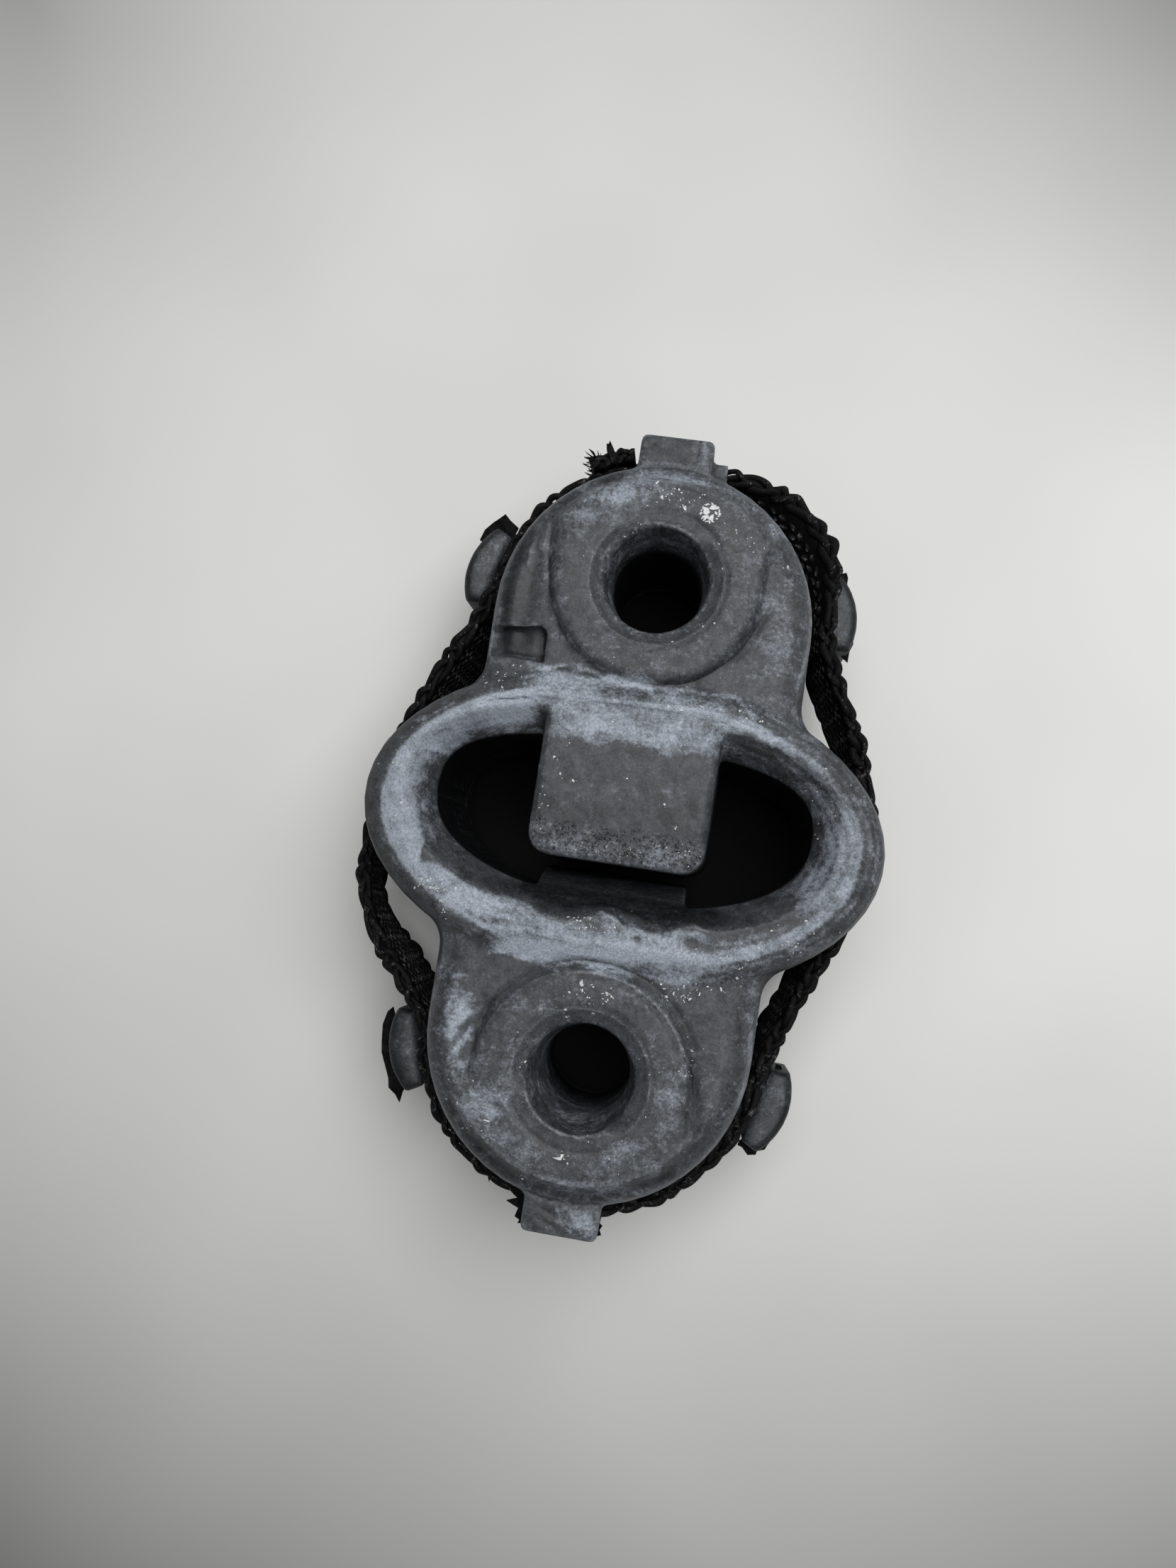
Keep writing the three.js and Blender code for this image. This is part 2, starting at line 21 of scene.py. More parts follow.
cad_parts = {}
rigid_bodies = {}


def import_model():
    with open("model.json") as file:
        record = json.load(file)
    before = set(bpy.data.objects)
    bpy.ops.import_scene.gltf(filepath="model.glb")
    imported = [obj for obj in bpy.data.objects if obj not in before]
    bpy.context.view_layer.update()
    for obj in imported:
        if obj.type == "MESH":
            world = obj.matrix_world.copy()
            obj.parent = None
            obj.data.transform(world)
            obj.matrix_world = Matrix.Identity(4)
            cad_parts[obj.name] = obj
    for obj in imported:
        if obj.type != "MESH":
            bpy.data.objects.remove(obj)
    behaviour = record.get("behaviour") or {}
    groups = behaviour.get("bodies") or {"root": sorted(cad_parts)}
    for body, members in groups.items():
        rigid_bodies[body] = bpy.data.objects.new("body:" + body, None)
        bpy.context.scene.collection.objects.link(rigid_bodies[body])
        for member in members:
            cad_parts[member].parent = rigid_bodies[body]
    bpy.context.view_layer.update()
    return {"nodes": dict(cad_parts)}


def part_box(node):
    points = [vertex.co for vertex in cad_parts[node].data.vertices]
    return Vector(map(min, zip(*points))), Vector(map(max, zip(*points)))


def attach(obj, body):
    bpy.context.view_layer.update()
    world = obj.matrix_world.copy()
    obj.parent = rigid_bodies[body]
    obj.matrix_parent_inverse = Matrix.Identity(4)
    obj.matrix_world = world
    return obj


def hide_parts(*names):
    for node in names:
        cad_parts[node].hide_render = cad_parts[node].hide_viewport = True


LOG = logging.getLogger("hanger")
MM = 0.001
BODY_NODE = "rubber_body"
STRAP_NODE = "retaining_strap"
Colour = tuple[float, float, float]
Place = tuple[float, float]


class Slot(Enum):
    """Material slots of the record."""

    RUBBER = "rubber"
    STRAP = "woven_strap"


# Arrays of numbers over a mesh


def rise(value: np.ndarray, low: float, high: float) -> np.ndarray:
    """Smooth step from 0 at low to 1 at high."""
    share = np.clip((value - low) / (high - low), 0.0, 1.0)
    return share * share * (3 - 2 * share)


def band(value: np.ndarray, centre: float, width: float) -> np.ndarray:
    """Bell curve: 1 where the value is at the centre, and about a third one width away."""
    return np.exp(-(((value - centre) / width) ** 2))


def blob(x: np.ndarray, y: np.ndarray, centre: Place, reach: Place, turn: float = 0.0) -> np.ndarray:
    """Soft oval spot, 1 in its centre.

    Args:
        x: Places across, in millimetres.
        y: Places along, in millimetres.
        centre: Centre of the spot.
        reach: Half lengths at which it has faded to about a third.
        turn: Turn of the oval, in degrees.

    Returns:
        The spot's strength at each place.
    """
    cos, sin = math.cos(math.radians(turn)), math.sin(math.radians(turn))
    u = (x - centre[0]) * cos + (y - centre[1]) * sin
    v = (y - centre[1]) * cos - (x - centre[0]) * sin
    return np.exp(-((u / reach[0]) ** 2) - (v / reach[1]) ** 2)


def ripple(x: np.ndarray, y: np.ndarray, length: float, seed: float = 0.0) -> np.ndarray:
    """Uneven waves from -1 to 1 of about the given length, for borders that wander."""
    k = 2 * math.pi / length
    waves = (
        np.sin(k * (x + 0.31 * y) + 1.7 + seed)
        + np.sin(k * (0.53 * x - 1.13 * y) + 0.4 + 2.3 * seed)
        + 0.7 * np.sin(2.3 * k * (0.8 * x + 0.6 * y) + 3.1 + 1.1 * seed)
        + 0.5 * np.sin(4.1 * k * (0.45 * x - 0.9 * y) + 0.9 + 3.7 * seed)
    )
    return waves / 3.2


def loop_wave(share: np.ndarray, seed: float, counts: tuple[int, ...] = (7, 13, 23, 41)) -> np.ndarray:
    """Uneven waves from -1 to 1 that meet again where a closed path of length 1 starts over."""
    waves = [math.sin(9.7 * k + seed) * np.sin(2 * math.pi * k * share + 3.3 * k * seed) for k in counts]
    return sum(waves) / len(counts) * 2


def path_distance(x: np.ndarray, y: np.ndarray, path: list[Place]) -> np.ndarray:
    """Distance from each place to a path of straight runs, in the places' own unit."""
    best = np.full(len(x), np.inf)
    for (ax, ay), (bx, by) in zip(path, path[1:]):
        dx, dy = bx - ax, by - ay
        share = np.clip(((x - ax) * dx + (y - ay) * dy) / (dx * dx + dy * dy), 0.0, 1.0)
        best = np.minimum(best, np.hypot(x - ax - share * dx, y - ay - share * dy))
    return best


def arc_path(centre: Place, radius: float, start: float, end: float, steps: int = 24) -> list[Place]:
    """Points on an arc, with its angles in degrees."""
    angles = [math.radians(start + (end - start) * i / steps) for i in range(steps + 1)]
    return [(centre[0] + radius * math.cos(a), centre[1] + radius * math.sin(a)) for a in angles]


# Meshes


def vertex_places(mesh: bpy.types.Mesh) -> np.ndarray:
    """A mesh's vertices as an array of rows, in metres."""
    flat = np.zeros(3 * len(mesh.vertices), np.float32)
    mesh.vertices.foreach_get("co", flat)
    return flat.reshape(-1, 3).astype(float)


def vertex_normals(mesh: bpy.types.Mesh) -> np.ndarray:
    """A mesh's vertex normals as an array of rows."""
    flat = np.zeros(3 * len(mesh.vertices), np.float32)
    mesh.vertex_normals.foreach_get("vector", flat)
    return flat.reshape(-1, 3).astype(float)


def move_vertices(mesh: bpy.types.Mesh, places: np.ndarray) -> None:
    """Puts a mesh's vertices at new places, in metres."""
    mesh.vertices.foreach_set("co", places.astype(np.float32).ravel())
    mesh.update()


def write_attribute(mesh: bpy.types.Mesh, name: str, values: np.ndarray) -> None:
    """Stores one number for each vertex under a name that materials read."""
    attribute = mesh.attributes.get(name) or mesh.attributes.new(name, "FLOAT", "POINT")
    attribute.data.foreach_set("value", np.asarray(values, np.float32))


def bend_of_surface(mesh: bpy.types.Mesh, rounds: int) -> np.ndarray:
    """Bend at each vertex in 1/mm: above 0 in a hollow and below 0 on an edge.

    Args:
        mesh: The mesh, with places in metres.
        rounds: How many times the result is averaged with its neighbours.

    Returns:
        One number for each vertex.
    """
    pairs = np.zeros(2 * len(mesh.edges), np.int32)
    mesh.edges.foreach_get("vertices", pairs)
    a, b = pairs.reshape(-1, 2).T
    places, normals = vertex_places(mesh) / MM, vertex_normals(mesh)
    run = places[b] - places[a]
    square = np.maximum((run**2).sum(1), 1e-6)
    count = np.maximum(np.bincount(pairs, minlength=len(places)), 1)

    def spread(at_a: np.ndarray, at_b: np.ndarray) -> np.ndarray:
        """Average over a vertex's edges of what each edge gives it."""
        total = np.bincount(a, at_a, len(places)) + np.bincount(b, at_b, len(places))
        return total / count

    bend = spread(2 * (normals[a] * run).sum(1) / square, -2 * (normals[b] * run).sum(1) / square)
    for _ in range(rounds):
        bend = 0.5 * bend + 0.5 * spread(bend[b], bend[a])
    return bend


def object_from(bm: bmesh.types.BMesh, name: str) -> bpy.types.Object:
    """Makes an object in the scene from a bmesh, and frees the bmesh."""
    mesh = bpy.data.meshes.new(name)
    bm.to_mesh(mesh)
    bm.free()
    piece = bpy.data.objects.new(name, mesh)
    bpy.context.scene.collection.objects.link(piece)
    return piece


def close_up(bm: bmesh.types.BMesh) -> None:
    """Fills the open edges of a bmesh and turns its faces out."""
    bmesh.ops.holes_fill(bm, edges=[e for e in bm.edges if e.is_boundary], sides=0)
    bmesh.ops.recalc_face_normals(bm, faces=bm.faces)


def grow(bm: bmesh.types.BMesh, faces: list[bmesh.types.BMFace]) -> list[bmesh.types.BMVert]:
    """Extrudes faces in place and returns the new vertices."""
    grown = bmesh.ops.extrude_face_region(bm, geom=faces)["geom"]
    return [item for item in grown if isinstance(item, bmesh.types.BMVert)]


def apply_modifiers(piece: bpy.types.Object) -> None:
    """Turns a piece's modifiers into its mesh."""
    graph = bpy.context.evaluated_depsgraph_get()
    made = bpy.data.meshes.new_from_object(piece.evaluated_get(graph), depsgraph=graph)
    piece.modifiers.clear()
    old = piece.data
    piece.data = made
    bpy.data.meshes.remove(old)


def join(pieces: list[bpy.types.Object], name: str) -> bpy.types.Object:
    """Joins pieces into one mesh object, keeping what is stored on their vertices."""
    with bpy.context.temp_override(active_object=pieces[0], selected_editable_objects=pieces):
        bpy.ops.object.join()
    pieces[0].name = name
    pieces[0].data.name = name
    return pieces[0]


def shade_smooth(mesh: bpy.types.Mesh) -> None:
    """Shades every face of a mesh smooth."""
    mesh.polygons.foreach_set("use_smooth", np.ones(len(mesh.polygons), bool))
    mesh.update()


# Shader nodes


class Nodes:
    """Adds nodes to one tree and joins them."""

    def __init__(self, tree: bpy.types.NodeTree) -> None:
        """Starts in an existing tree."""
        self.tree = tree

    def add(self, kind: str, inputs: dict | None = None, **settings: object) -> bpy.types.Node:
        """Adds a node.

        Args:
            kind: The node's type.
            inputs: Values or sockets for its inputs, by name or number.
            settings: The node's own settings.

        Returns:
            The new node.
        """
        node = self.tree.nodes.new(kind)
        for name, value in settings.items():
            setattr(node, name, value)
        for name, value in (inputs or {}).items():
            self.put(node.inputs[name], value)
        return node

    def put(self, socket: bpy.types.NodeSocket, value: object) -> None:
        """Joins a socket to an input, or sets the input's value."""
        if isinstance(value, bpy.types.NodeSocket):
            self.tree.links.new(value, socket)
        elif isinstance(value, tuple) and len(value) == 3 and socket.type == "RGBA":
            socket.default_value = (*value, 1.0)
        else:
            socket.default_value = value

    def maths(self, operation: str, *values: object, clamp: bool = False) -> bpy.types.NodeSocket:
        """One step of arithmetic on numbers or sockets."""
        node = self.add("ShaderNodeMath", dict(enumerate(values)), operation=operation, use_clamp=clamp)
        return node.outputs[0]

    def times(self, first: object, second: object, clamp: bool = False) -> bpy.types.NodeSocket:
        """Product of two numbers or sockets."""
        return self.maths("MULTIPLY", first, second, clamp=clamp)

    def plus(self, first: object, second: object) -> bpy.types.NodeSocket:
        """Sum of two numbers or sockets."""
        return self.maths("ADD", first, second)

    def rest(self, value: object) -> bpy.types.NodeSocket:
        """What is missing from a value to 1."""
        return self.maths("SUBTRACT", 1.0, value)

    def limited(self, value: object, low: float, high: float) -> bpy.types.NodeSocket:
        """A value kept between two limits."""
        return self.maths("MAXIMUM", self.maths("MINIMUM", value, high), low)

    def grey(self, level: object) -> bpy.types.NodeSocket:
        """Grey of a level."""
        return self.add("ShaderNodeCombineColor", dict.fromkeys(range(3), level)).outputs[0]

    def bump(self, height: object, strength: float, distance: float) -> bpy.types.NodeSocket:
        """Normal of a surface that a height roughens, over a distance in millimetres."""
        inputs = {"Height": height, "Strength": strength, "Distance": distance * MM}
        return self.add("ShaderNodeBump", inputs).outputs["Normal"]

    def mix(self, share: object, first: object, second: object, blend: str = "MIX") -> bpy.types.NodeSocket:
        """Mixes two colours by a share from 0 to 1."""
        node = self.add("ShaderNodeMix", data_type="RGBA", blend_type=blend)
        for socket, value in zip((node.inputs[0], node.inputs[6], node.inputs[7]), (share, first, second)):
            self.put(socket, value)
        return node.outputs[2]

    def noise(self, vector: object, scale: object, detail: float = 5.0, roughness: float = 0.6,
              distortion: float = 0.0) -> bpy.types.NodeSocket:
        """Noise value of about 0.5 on average."""
        node = self.add("ShaderNodeTexNoise", {
            "Vector": vector,
            "Scale": scale,
            "Detail": detail,
            "Roughness": roughness,
            "Distortion": distortion,
        })
        return node.outputs["Fac"]

    def remap(self, value: object, low: float, high: float, first: object = 0.0,
              second: object = 1.0) -> bpy.types.NodeSocket:
        """Smooth step between two levels of a value."""
        node = self.add("ShaderNodeMapRange", {
            "Value": value,
            "From Min": low,
            "From Max": high,
            "To Min": first,
            "To Max": second,
        }, interpolation_type="SMOOTHSTEP")
        return node.outputs["Result"]

    def painted(self, name: str) -> bpy.types.NodeSocket:
        """Number that was stored on the vertices under a name."""
        node = self.add("ShaderNodeAttribute", attribute_type="GEOMETRY", attribute_name=name)
        return node.outputs["Fac"]

    def millimetres(self) -> bpy.types.NodeSocket:
        """Object coordinates in millimetres."""
        coordinates = self.add("ShaderNodeTexCoord").outputs["Object"]
        scale = (1 / MM, 1 / MM, 1 / MM)
        return self.add("ShaderNodeMapping", {"Vector": coordinates, "Scale": scale}).outputs["Vector"]


@dataclass(frozen=True)
class Effect:
    """A shader node group with named sockets, built once and shared by materials."""

    name: str
    numbers: tuple[str, ...]
    colours: tuple[str, ...]
    results: tuple[tuple[str, str], ...]

    def start(self) -> tuple[Nodes, bpy.types.Node, bpy.types.Node]:
        """Makes the empty group.

        Returns:
            The nodes to fill, the group's input node and its output node.
        """
        tree = bpy.data.node_groups.new(self.name, "ShaderNodeTree")
        tree.interface.new_socket("Place", in_out="INPUT", socket_type="NodeSocketVector")
        for name in self.numbers:
            tree.interface.new_socket(name, in_out="INPUT", socket_type="NodeSocketFloat")
        for name in self.colours:
            tree.interface.new_socket(name, in_out="INPUT", socket_type="NodeSocketColor")
        for name, kind in self.results:
            tree.interface.new_socket(name, in_out="OUTPUT", socket_type=kind)
        nodes = Nodes(tree)
        return nodes, nodes.add("NodeGroupInput"), nodes.add("NodeGroupOutput")

    def build(self) -> bpy.types.NodeTree:
        """Makes and fills the group."""
        raise NotImplementedError

    def place(self, nodes: Nodes, inputs: dict) -> bpy.types.Node:
        """Places the group in a material.

        Args:
            nodes: The material's nodes.
            inputs: Values or sockets for the group's inputs.

        Returns:
            The group node.
        """
        tree = bpy.data.node_groups.get(self.name) or self.build()
        node = nodes.add("ShaderNodeGroup", node_tree=tree)
        for name, value in inputs.items():
            nodes.put(node.inputs[name], value)
        return node


@dataclass(frozen=True)
class DustCover(Effect):
    """Pale bloom that lies in patches, thicker where the painted amount is higher."""

    name: str = "dust_cover"
    numbers: tuple[str, ...] = ("Amount", "Patch", "Grain")
    colours: tuple[str, ...] = ("Bare", "Dust")
    results: tuple[tuple[str, str], ...] = (("Color", "NodeSocketColor"), ("Mask", "NodeSocketFloat"))

    def build(self) -> bpy.types.NodeTree:
        """Makes and fills the group."""
        nodes, given, result = self.start()
        place, patch = given.outputs["Place"], given.outputs["Patch"]
        wide = nodes.noise(place, nodes.maths("DIVIDE", 1.0, patch), 8, 0.7, 0.6)
        smeared = nodes.add("ShaderNodeMapping", {
            "Vector": place, "Rotation": (0.0, 0.0, 0.05), "Scale": (0.22, 1.25, 1.0),
        }).outputs["Vector"]
        streaks = nodes.noise(smeared, nodes.maths("DIVIDE", 1.6, patch), 6, 0.66, 0.3)
        wide = nodes.plus(nodes.times(wide, 0.66), nodes.times(streaks, 0.34))
        fine = nodes.noise(place, nodes.maths("DIVIDE", 1.0, given.outputs["Grain"]), 5, 0.75, 0.5)
        swing = nodes.maths("MULTIPLY_ADD", wide, 2.2, -1.1)
        speck = nodes.maths("MULTIPLY_ADD", fine, 1.3, -0.65)
        total = nodes.plus(nodes.plus(given.outputs["Amount"], swing), speck)
        mask = nodes.remap(total, 0.1, 0.95)
        shade = nodes.mix(mask, given.outputs["Bare"], given.outputs["Dust"])
        nodes.put(result.inputs["Color"], shade)
        nodes.put(result.inputs["Mask"], mask)
        return nodes.tree


@dataclass(frozen=True)
class MouldGrain(Effect):
    """Height of a moulded or worn surface: fine grain, wider unevenness and small pits."""

    name: str = "mould_grain"
    numbers: tuple[str, ...] = ("Fine", "Wide", "Pitting")
    colours: tuple[str, ...] = ()
    results: tuple[tuple[str, str], ...] = (("Height", "NodeSocketFloat"), ("Pits", "NodeSocketFloat"))

    def build(self) -> bpy.types.NodeTree:
        """Makes and fills the group."""
        nodes, given, result = self.start()
        place = given.outputs["Place"]
        fine = nodes.noise(place, nodes.maths("DIVIDE", 1.0, given.outputs["Fine"]), 4, 0.6)
        wide = nodes.noise(place, nodes.maths("DIVIDE", 1.0, given.outputs["Wide"]), 3, 0.5)
        warp = nodes.noise(place, 2.6, 3, 0.7)
        bitten = nodes.remap(nodes.noise(place, 1.9, 4, 0.75, 0.8), 0.5, 0.62)
        ragged = nodes.times(bitten, nodes.remap(warp, 0.4, 0.6))
        pits = nodes.times(ragged, given.outputs["Pitting"], clamp=True)
        height = nodes.plus(nodes.times(fine, 0.25), nodes.times(wide, 0.75))
        nodes.put(result.inputs["Height"], nodes.maths("SUBTRACT", height, nodes.times(pits, 0.9)))
        nodes.put(result.inputs["Pits"], pits)
        return nodes.tree


@dataclass(frozen=True)
class Finish:
    """A finish of a piece: the colours and gloss of one material."""

    name: str
    base: Colour
    roughness: float
    gloss: float = 0.5

    def start(self) -> tuple[bpy.types.Material, Nodes, bpy.types.Node]:
        """Makes the material.

        Returns:
            The material, its nodes and its main shader.
        """
        material = bpy.data.materials.new(self.name)
        material.use_nodes = True
        nodes = Nodes(material.node_tree)
        shader = material.node_tree.nodes["Principled BSDF"]
        shader.inputs["Base Color"].default_value = (*self.base, 1.0)
        shader.inputs["Roughness"].default_value = self.roughness
        shader.inputs["Specular IOR Level"].default_value = self.gloss
        return material, nodes, shader


@dataclass(frozen=True)
class WeatheredRubber(Finish):
    """Old grey rubber under pale bloom, darkened by dirt and painted shade in its hollows, and rubbed light
    on its edges with painted highlights on the lobes' rims.
    """

    name: str = "weathered_rubber"
    base: Colour = (0.05, 0.0545, 0.0595)
    roughness: float = 0.62
    gloss: float = 0.28
    dust: Colour = (0.335, 0.37, 0.425)
    dark: Colour = (0.0035, 0.004, 0.005)
    rubbed: Colour = (0.25, 0.268, 0.285)
    mottle_range: Place = (0.6, 1.45)
    grain_range: Place = (0.42, 1.58)

    def build(self) -> bpy.types.Material:
        """Makes the material."""
        material, nodes, shader = self.start()
        place = nodes.millimetres()
        mottle = nodes.noise(place, 0.5, 8, 0.7, 0.8)
        darker, lighter = (tuple(tone * c for c in self.base) for tone in self.mottle_range)
        bare = nodes.mix(nodes.remap(mottle, 0.28, 0.72), darker, lighter)
        cover = DustCover().place(nodes, {
            "Place": place, "Amount": nodes.painted("dust"), "Patch": 3.6, "Grain": 0.55,
            "Bare": bare, "Dust": self.dust,
        })
        scuff = nodes.noise(place, 1.3, 6, 0.75, 0.4)
        # The edge amount holds rubbed wear and painted highlights along the lobes' rims
        edge = nodes.times(nodes.painted("edge"), nodes.remap(scuff, 0.34, 0.6), clamp=True)
        worn = nodes.mix(nodes.times(edge, 0.7), cover.outputs["Color"], self.rubbed)
        rough = nodes.remap(scuff, 0.25, 0.72, 1.0, 0.72)
        # The dark amount holds dirt and painted shade
        dirt_and_shade = nodes.times(nodes.painted("dirt_and_shade"), rough, clamp=True)
        soiled = nodes.mix(dirt_and_shade, worn, self.dark)
        grain = MouldGrain().place(nodes, {
            "Place": place, "Fine": 0.16, "Wide": 0.9, "Pitting": nodes.painted("pitting"),
        })
        pitted = nodes.mix(nodes.times(grain.outputs["Pits"], 0.85), soiled, self.dark)
        tone = nodes.grey(nodes.remap(nodes.noise(place, 3.4, 6, 0.8), 0.3, 0.7, *self.grain_range))
        grained = nodes.mix(0.72, pitted, nodes.mix(1.0, pitted, tone, "MULTIPLY"))
        flecks = nodes.times(nodes.remap(nodes.noise(place, 2.3, 2, 0.5), 0.73, 0.77),
                             nodes.remap(nodes.noise(place, 0.35, 2, 0.5), 0.48, 0.6))
        shade = nodes.mix(nodes.times(flecks, 0.8), grained, self.rubbed)
        nodes.put(shader.inputs["Base Color"], shade)
        nodes.put(shader.inputs["Roughness"], nodes.remap(cover.outputs["Mask"], 0.0, 1.0, 0.48, 0.8))
        nodes.put(shader.inputs["Normal"], nodes.bump(grain.outputs["Height"], 0.7, 0.14))
        return material


@dataclass(frozen=True)
class BlackYarn(Finish):
    """Black polyester yarn, grey on the tops of its strands from wear and painted highlights."""

    name: str = "black_yarn"
    base: Colour = (0.0035, 0.0035, 0.004)
    roughness: float = 0.5
    gloss: float = 0.1
    worn: Colour = (0.125, 0.125, 0.132)

    def build(self) -> bpy.types.Material:
        """Makes the material."""
        material, nodes, shader = self.start()
        place = nodes.millimetres()
        # Painted highlights with wear: grey squiggles on the strands' tops and brighter stitches on every
        # second row
        patches = nodes.remap(nodes.noise(place, 0.5, 3, 0.6), 0.42, 0.6, 0.06, 1.0)
        squiggles = nodes.remap(nodes.noise(place, 1.5, 5, 0.7, 1.2), 0.55, 0.64)
        stitched = nodes.remap(nodes.painted("crest"), 1.2, 2.2, 0.0, 0.4)
        stitches = nodes.times(stitched, nodes.remap(patches, 0.0, 1.0, 0.35, 1.0))
        lit = nodes.maths("MAXIMUM", nodes.times(patches, squiggles), stitches)
        tops = nodes.times(nodes.painted("crest"), lit, clamp=True)
        nodes.put(shader.inputs["Base Color"], nodes.mix(tops, self.base, self.worn))
        nodes.put(shader.inputs["Normal"], nodes.bump(nodes.noise(place, 6.0, 4, 0.7), 0.8, 0.09))
        return material


@dataclass(frozen=True)
class BlackScrapSkin(Finish):
    """Thin black skin of the scraps, dull and a little scuffed: painted shade round the stud heads, rubber
    flash by the lower tab.
    """

    name: str = "black_scrap_skin"
    base: Colour = (0.002, 0.002, 0.0024)
    roughness: float = 0.6
    gloss: float = 0.06
    rubbed: Colour = (0.012, 0.0125, 0.014)

    def build(self) -> bpy.types.Material:
        """Makes the material."""
        material, nodes, shader = self.start()
        place = nodes.millimetres()
        scuffs = nodes.remap(nodes.noise(place, 1.2, 4, 0.7), 0.5, 0.75)
        nodes.put(shader.inputs["Base Color"], nodes.mix(scuffs, self.base, self.rubbed))
        nodes.put(shader.inputs["Normal"], nodes.bump(nodes.noise(place, 1.6, 3, 0.6), 0.6, 0.15))
        return material


@dataclass(frozen=True)
class PaleChip(Finish):
    """Chips of white paint and dried grit."""

    name: str = "pale_chips"
    base: Colour = (0.66, 0.67, 0.67)
    roughness: float = 0.55
    soiled: Colour = (0.26, 0.27, 0.29)

    def build(self) -> bpy.types.Material:
        """Makes the material."""
        material, nodes, shader = self.start()
        dirt = nodes.remap(nodes.noise(nodes.millimetres(), 1.8, 4, 0.7), 0.45, 0.7)
        nodes.put(shader.inputs["Base Color"], nodes.mix(dirt, self.base, self.soiled))
        return material


# The moulding


@dataclass(frozen=True)
class Patch:
    """A soft oval patch on the front: its centre, half lengths, turn in degrees and strength."""

    centre: Place
    reach: Place
    turn: float
    strength: float

    def over(self, x: np.ndarray, y: np.ndarray) -> np.ndarray:
        """The patch's strength at each place, with a border that wanders."""
        wander = 0.3 * min(self.reach)
        return self.strength * blob(x + wander * ripple(x, y, 2.6), y + wander * ripple(y, x, 2.9, 1.0),
                                    self.centre, self.reach, self.turn)


@dataclass(frozen=True)
class PaleLine:
    """A pale line on the front, of dry dust, and a painted highlight where it runs along a lobe's rim: its
    path, half width and strength.
    """

    path: list[Place]
    width: float
    strength: float


@dataclass(frozen=True)
class Crease:
    """A groove along a path, or a ridge where its depth is below 0."""

    path: list[Place]
    width: float
    depth: float


@dataclass(frozen=True)
class Spots:
    """Places on the moulding in millimetres, with the distances that wear, dirt, painted shade and painted
    highlights follow.

    The distances run from the middle line (across), inwards from a lobe's outer round (lobe),
    inwards from the ring's outer oval (ring), outwards from the opening's parting edge (gap)
    and outwards from the nearer bore's axis (bore).
    """

    x: np.ndarray
    y: np.ndarray
    z: np.ndarray
    across: np.ndarray
    lobe: np.ndarray
    ring: np.ndarray
    gap: np.ndarray
    bore: np.ndarray


